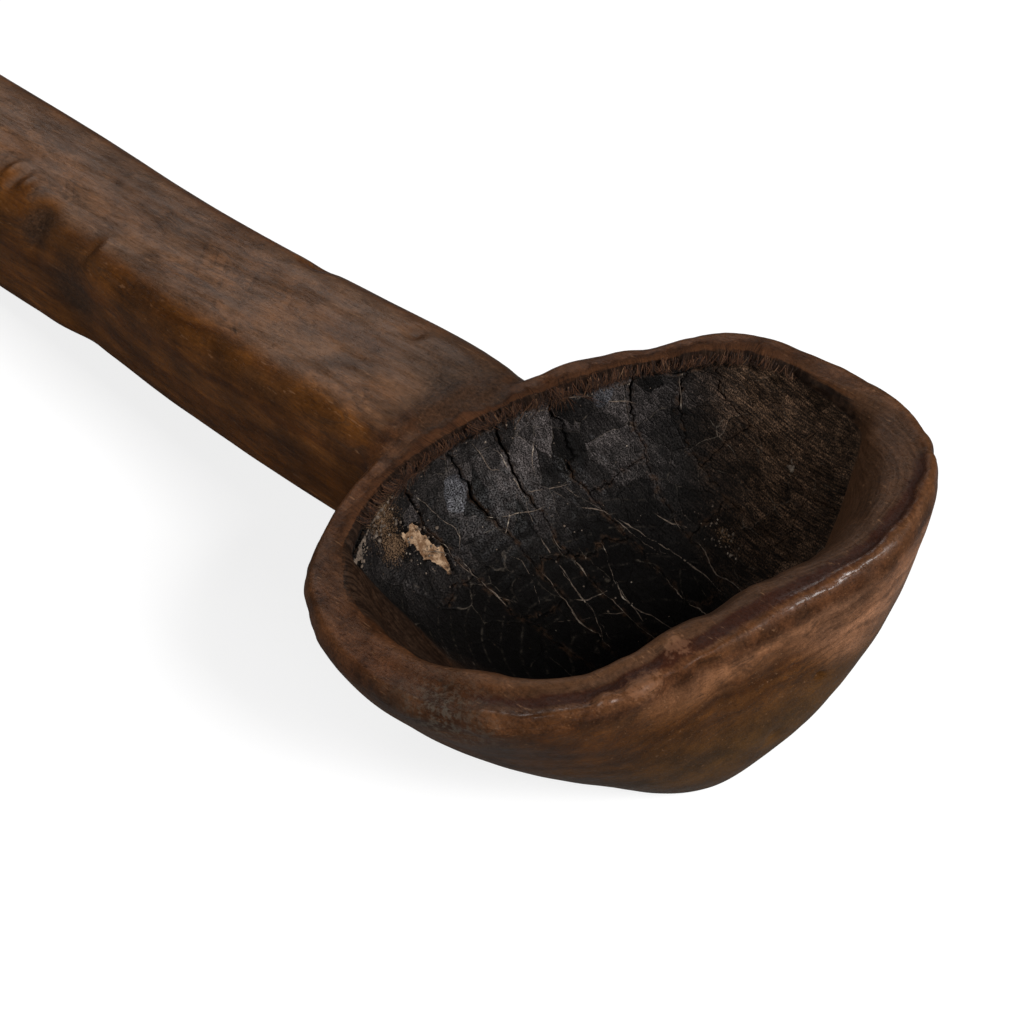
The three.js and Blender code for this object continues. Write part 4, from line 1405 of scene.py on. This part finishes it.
# %% Wood colours
WOOD_DARK = (0.0150, 0.0048, 0.0013, 1)
WOOD_DEEP = (0.056, 0.0180, 0.0036, 1)
WOOD_WARM = (0.102, 0.0360, 0.0072, 1)
WOOD_RUBBED = (0.165, 0.072, 0.030, 1)
WOOD_FLECK = (0.250, 0.130, 0.066, 1)
WOOD_HANDLED = (0.051, 0.0190, 0.0076, 1)
WOOD_RED = (0.0260, 0.0074, 0.0035, 1)
WOOD_TAN = (0.255, 0.124, 0.068, 1)
WOOD_OLIVE = (0.060, 0.0295, 0.0080, 1)
SMOKE_GREY = (0.026, 0.0150, 0.0094, 1)
DUST_AND_SHEEN_GREY = (0.120, 0.071, 0.045, 1)
TORN_DARK = (0.0150, 0.0066, 0.0034, 1)
TORN_RED = (0.068, 0.0265, 0.0110, 1)
TORN_TAN = (0.140, 0.078, 0.042, 1)
SOOT_DARK = (0.0070, 0.0036, 0.0022, 1)
SOOT_BROWN = (0.0340, 0.0185, 0.0110, 1)
SLOPE_DARK = (0.0300, 0.0140, 0.0068, 1)
SLOPE_BROWN = (0.072, 0.036, 0.0195, 1)
WEATHERED = (0.165, 0.150, 0.118, 1)
BARE = (0.36, 0.24, 0.15, 1)
BARE_BROWN = (0.13, 0.070, 0.036, 1)
ON_BOWL = 0.66

# %% Wood colour nodes
wood, tree, shader, place = new_material("hewn_wood")
figure = tree.use(grain, Place=place, Wander=26.0)
normal = tree.put("NewGeometry", {}).outputs["Normal"]
top_dust_and_sheen = tree.use(dust_and_sheen, Place=place, Normal=normal, Reach=0.08)["Dust"]
grit = tree.cloud(place, (1.4, 1.4, 1.4), 6.0, 0.7)
on_bowl = tree.stored("on_bowl")
colour = tree.blend(tree.ease(figure["Band"], 0.34, 0.66), WOOD_DEEP, WOOD_WARM)
colour = tree.tone(colour, figure["Blotch"], 0.30, 0.70, 0.75, 1.25)
colour = tree.tint(colour, tree.add(1.0, tree.times(on_bowl, ON_BOWL - 1.0)))
# Painted light on the handle's sides and painted shade along its upper arrises.
colour = tree.tint(colour, tree.stored("even"))
streak = tree.ease(figure["Streak"], 0.54, 0.72)
colour = tree.lay(colour, WOOD_DARK, streak, 0.28)
colour = tree.lay(colour, WOOD_OLIVE, tree.stored("low"), 0.66)
# The pale band is tan wood tone with painted light on the bowl's right side.
banded = tree.ease(tree.ragged(figure["Band"], grit, 0.3), 0.28, 0.68, 0.35, 1.0)
pale = tree.times(tree.stored("pale_band"), banded)
colour = tree.lay(colour, WOOD_TAN, pale, 0.66)
# Painted sheen with dust: the faces that look up turn grey-brown.
colour = tree.lay(colour, DUST_AND_SHEEN_GREY, top_dust_and_sheen, 0.62)

# %% Wood colour nodes, smoke and the handled rim
wisp = tree.times(figure["Wisp"], tree.ease(figure["Blotch"], 0.42, 0.60))
colour = tree.lay(colour, SMOKE_GREY, wisp, 0.45)
handled = tree.ease(tree.ragged(figure["Blotch"], grit, 0.6), 0.75, 0.30, 0.60, 1.0)
colour = tree.blend(tree.times(tree.stored("lip"), handled), colour, WOOD_HANDLED)
rim_stain = tree.ease(tree.cloud(place, (8, 8, 8), 6.0, 0.72), 0.46, 0.62)
rim_stain = tree.times(rim_stain, tree.stored("lip"))
colour = tree.lay(colour, WOOD_DARK, rim_stain, 0.70)
smudge = tree.ease(tree.cloud(place, (22, 11, 11), 4.0, 0.55), 0.48, 0.66)
colour = tree.lay(colour, SMOKE_GREY, smudge, 0.32)
colour = tree.tone(colour, tree.cloud(place, (12, 7, 7), 4.0, 0.55), 0.30, 0.70, 0.70, 1.30)
colour = tree.tone(colour, figure["Fibre"], 0.25, 0.75, 0.78, 1.25)
colour = tree.tone(colour, grit, 0.25, 0.75, 0.82, 1.20)
pore = tree.ease(figure["Pore"], 0.60, 0.70)
colour = tree.lay(colour, WOOD_DARK, pore, 0.22)

# %% Wood colour nodes, slopes and ridges
fibre_spot = tree.stored("fibre_place", "Vector")
lines = tree.cloud(fibre_spot, (15.0, 0.45, 1.0), 4.0, 0.65)
slope_colour = tree.blend(tree.ease(lines, 0.34, 0.68), SLOPE_DARK, SLOPE_BROWN)
slope = tree.ease(tree.ragged(tree.stored("slope"), lines, 0.8), 0.25, 0.85)
colour = tree.lay(colour, slope_colour, slope, 0.80)
red = tree.ease(tree.ragged(tree.stored("ridge_band"), figure["Streak"], 1.0), 0.25, 0.65)
colour = tree.lay(colour, WOOD_RED, red, 0.92)
fleck = tree.times(tree.ease(figure["Pore"], 0.36, 0.26), tree.ease(figure["Streak"], 0.50, 0.38))
dash = tree.most(fleck, tree.ease(tree.cloud(place, (7, 1.0, 1.0), 3.0, 0.6), 0.64, 0.72))
colour = tree.lay(colour, WOOD_FLECK, dash, 0.32)
colour = tree.lay(colour, WOOD_RUBBED, tree.stored("ridge"), 0.22)
# Painted shade in the hollows and in the worm hole.
colour = tree.lay(colour, WOOD_DARK, tree.stored("hollow"), 0.50)

# %% Wood colour nodes, dirt
dirt = tree.ease(tree.ragged(tree.stored("stain"), grit, 0.8), 0.15, 0.85)
colour = tree.lay(colour, SMOKE_GREY, dirt, 0.70)
grime = tree.cloud(place, (0.8, 0.8, 0.8), 5.0, 0.75)
soiled = tree.most(dirt, tree.times(tree.stored("lip"), 0.6))
colour = tree.tint(colour, tree.ragged(1.0, grime, tree.times(soiled, 3.2)))
scabby = tree.ease(tree.ragged(tree.stored("scab"), grit, 2.4), 0.50, 0.90)
colour = tree.lay(colour, WOOD_TAN, scabby, 0.26)
worn = tree.times(tree.stored("weathered"), tree.ease(grit, 0.46, 0.62))
colour = tree.lay(colour, WEATHERED, worn, 0.44)

# %% Torn, charred and bare places
torn_share = tree.stored("torn")
shred = tree.cloud(fibre_spot, (0.30, 3.6, 1.0), 4.0, 0.65)
tuft = tree.cloud(fibre_spot, (7.0, 30.0, 1.0), 3.0, 0.6)
shredded = tree.add(shred, tree.times(tree.minus(tuft, 0.5), 0.8))
torn_colour = tree.blend(tree.ease(shredded, 0.26, 0.58), TORN_DARK, TORN_RED)
torn_colour = tree.blend(tree.ease(shredded, 0.66, 0.82), torn_colour, TORN_TAN)
colour = tree.blend(tree.ease(tree.ragged(torn_share, grit, 0.9), 0.25, 0.75), colour, torn_colour)
soot = tree.ragged(tree.ragged(tree.stored("sooty"), figure["Streak"], 1.0), lines, 2.2)
scrape = tree.cloud(tree.stored("wall_place", "Vector"), (16.0, 0.55, 1.0), 4.0, 0.65)
soot_colour = tree.blend(tree.ease(tree.ragged(scrape, grit, 0.7), 0.42, 0.70), SOOT_DARK, SOOT_BROWN)
colour = tree.lay(colour, soot_colour, tree.ease(soot, 0.15, 0.80), 0.95)
char_edge = tree.ragged(tree.stored("burnt"), grit, 0.9)
charred = tree.ease(char_edge, 0.20, 0.80)
skin = crust_skin(tree, place)
colour = tree.blend(charred, colour, skin["Colour"])
bare_edge = tree.ease(tree.ragged(tree.stored("bare"), grit, 1.3), 0.45, 0.75)
scab = tree.cloud(place, (2.2, 2.2, 2.2), 5.0, 0.75)
colour = tree.blend(bare_edge, colour, tree.blend(tree.ease(scab, 0.42, 0.62), BARE_BROWN, BARE))

# %% Wood roughness and bump
rough = tree.total((grit, 0.40), (torn_share, 0.3), (charred, 0.2), (tree.stored("polished"), -0.14))
rough = tree.most(tree.add(0.23, rough), 0.2)
torn_height = tree.times(tree.add(shred, grit), torn_share)
height = tree.total((figure["Fibre"], 0.12), (streak, -0.04), (pore, -0.10), (grit, 0.16), (torn_height, 1.2),
                    (tree.times(scab, bare_edge), 0.8), (tree.times(skin["Height"], charred), 0.7))
tree.surface(shader, colour, rough, height, strength=0.65, depth=1.2)

# %% Wood gloss
shader.inputs["Specular IOR Level"].default_value = 0.06
shader.inputs["Coat Roughness"].default_value = 0.24
streaky = tree.cloud(fibre_spot, (9.0, 0.5, 1.0), 3.0, 0.6)
gloss = tree.times(tree.stored("polished"), tree.ease(tree.ragged(streaky, grit, 0.9), 0.44, 0.62))
sheen = tree.times(tree.stored("rubbed"), tree.ease(figure["Streak"], 0.62, 0.40))
tree.fill(shader.inputs["Coat Weight"], tree.add(tree.times(gloss, 0.80), tree.times(sheen, 0.10)))
body.data.materials.clear()
body.data.materials.append(wood)
print("wood material:", len(tree.nodes), "nodes")

# %% Splinter material
splinter_wood, tree, shader, place = new_material("torn_fibre")
figure = tree.use(grain, Place=place, Wander=8.0)
tone = tree.stored("tone")
colour = tree.blend(tree.ease(tone, 0.25, 0.90), TORN_DARK, TORN_RED)
colour = tree.blend(tree.ease(tone, 0.92, 1.04), colour, TORN_TAN)
colour = tree.tone(colour, figure["Fibre"], 0.25, 0.75, 0.6, 1.4)
rough = tree.ease(figure["Fibre"], 0.3, 0.7, 0.85, 0.6)
tree.surface(shader, colour, rough, figure["Fibre"], strength=0.5, depth=0.2)
shader.inputs["Specular IOR Level"].default_value = 0.2
torn_fibres.data.materials.append(splinter_wood)
print("splinter material:", len(tree.nodes), "nodes")

# %% Crust material
burnt_crust, tree, shader, place = new_material("burnt_crust")
skin = crust_skin(tree, place)
worn_off = tree.times(tree.stored("flaked"), 0.45)
colour = tree.blend(worn_off, skin["Colour"], CRUST_BLACK)
powder = tree.ease(tree.cloud(place, (2.2, 2.2, 2.2), 5.0, 0.75), 0.46, 0.64)
rim_dust = tree.times(tree.stored("edge"), powder)
colour = tree.lay(colour, BROWN_DUST, rim_dust, 0.55)
tree.surface(shader, colour, skin["Rough"], skin["Height"], strength=0.8, depth=0.8)
tree.fill(shader.inputs["Coat Weight"], skin["Gloss"])
shader.inputs["Specular IOR Level"].default_value = 0.06
shader.inputs["Coat Roughness"].default_value = 0.34
for plate in plates:
    plate.data.materials.append(burnt_crust)
print("crust material:", len(tree.nodes), "nodes")

# %% Filling and crumb material
FILL_DARK, FILL_TAN, FILL_PALE = (0.022, 0.016, 0.012, 1), (0.095, 0.066, 0.045, 1), (0.33, 0.28, 0.22, 1)
pale, tree, shader, place = new_material("pale_filling")
grit = tree.cloud(place, (1.6, 1.6, 1.6), 5.0, 0.75)
broad = tree.cloud(place, (14, 14, 14), 3.0, 0.6)
colour = tree.blend(tree.ease(grit, 0.36, 0.54), FILL_DARK, FILL_TAN)
bright = tree.times(tree.ease(grit, 0.52, 0.64), tree.ease(broad, 0.44, 0.58))
colour = tree.blend(bright, colour, FILL_PALE)
rough = tree.ease(grit, 0.3, 0.7, 0.95, 0.7)
tree.surface(shader, colour, rough, grit, strength=0.5, depth=0.3)
filling.data.materials.append(pale)
crumbs.data.materials.append(pale)
print("filling material:", len(tree.nodes), "nodes")

# %% [markdown]
# ## Floor, light and camera
# The ladle lies on a plain pale floor, as in a small studio. The main soft light stands high at the right,
# and weaker ones behind and at the left lift the shadows. A sky texture would tint the white ground.
# The camera looks down at 41 degrees with a long lens.

# %% Floor
FLOOR_HALF = 6.0
FLOOR_DARK, FLOOR_PALE, FLOOR_GLOW = (0.24, 0.24, 0.24, 1), (0.26, 0.26, 0.26, 1), 0.80
corners = np.array([[-1, -1, 0], [1, -1, 0], [1, 1, 0], [-1, 1, 0]]) * FLOOR_HALF / MM
floor = new_piece("floor", corners, np.array([[0, 1, 2, 3]]))
pale_floor, tree, shader, place = new_material("pale_floor")
mottle = tree.cloud(place, (240, 240, 240), 3.0)
tree.fill(shader.inputs["Base Color"], tree.blend(mottle, FLOOR_DARK, FLOOR_PALE))
shader.inputs["Roughness"].default_value = 0.9
shader.inputs["Specular IOR Level"].default_value = 0.1
glow = tree.put("Emission", {"Color": (1, 1, 1, 1), "Strength": FLOOR_GLOW}).outputs[0]
lit = tree.put("AddShader", {0: shader.outputs[0], 1: glow}).outputs[0]
seen = tree.put("LightPath", {}).outputs["Is Camera Ray"]
both = tree.put("MixShader", {0: seen, 1: shader.outputs[0], 2: lit}).outputs[0]
tree.fill(tree.nodes["Material Output"].inputs["Surface"], both)
floor.data.materials.append(pale_floor)

# %% Light, as a place and an aim in metres, a size in metres and a power in watts
LIGHTS = {
    "key_light": ((1.42, 0.06, 1.13), (-0.05, 0, 0.03), 0.7, 50),
    "top_light": ((-1.10, 0.62, 1.00), (-0.10, 0, 0.03), 0.8, 7),
    "left_light": ((-0.50, -1.70, 0.80), (-0.10, 0, 0.03), 0.8, 14),
}
SKY_POWER = 0.05


def soft_light(name, place, aim, size, power):
    """A square area light at a place in metres that faces a point."""
    data = bpy.data.lights.new(name, "AREA")
    data.shape, data.size, data.energy = "SQUARE", size, power
    light = bpy.data.objects.new(name, data)
    bpy.context.scene.collection.objects.link(light)
    direction = np.array(place) - np.array(aim)
    light.location = place
    light.rotation_euler = (math.acos(direction[2] / np.linalg.norm(direction)), 0,
                            math.atan2(direction[1], direction[0]) + math.pi / 2)


for name, settings in LIGHTS.items():
    soft_light(name, *settings)
world = bpy.data.worlds.new("studio")
world.use_nodes = True
world.node_tree.nodes["Background"].inputs[0].default_value = (1, 1, 1, 1)
world.node_tree.nodes["Background"].inputs[1].default_value = SKY_POWER
bpy.context.scene.world = world
bpy.context.scene.view_settings.view_transform = "Standard"

# %% Camera
CAMERA_PLACE = (0.3761, -0.4217, 0.5532)
CAMERA_TILT, CAMERA_TURN, CAMERA_ANGLE = 49.0, 45.0, 16.5
lens = bpy.data.cameras.new("camera")
lens.angle = math.radians(CAMERA_ANGLE)
lens.clip_start = 0.01
camera = bpy.data.objects.new("camera", lens)
camera.location = CAMERA_PLACE
camera.rotation_euler = (math.radians(CAMERA_TILT), 0, math.radians(CAMERA_TURN))
bpy.context.scene.collection.objects.link(camera)
bpy.context.scene.camera = camera
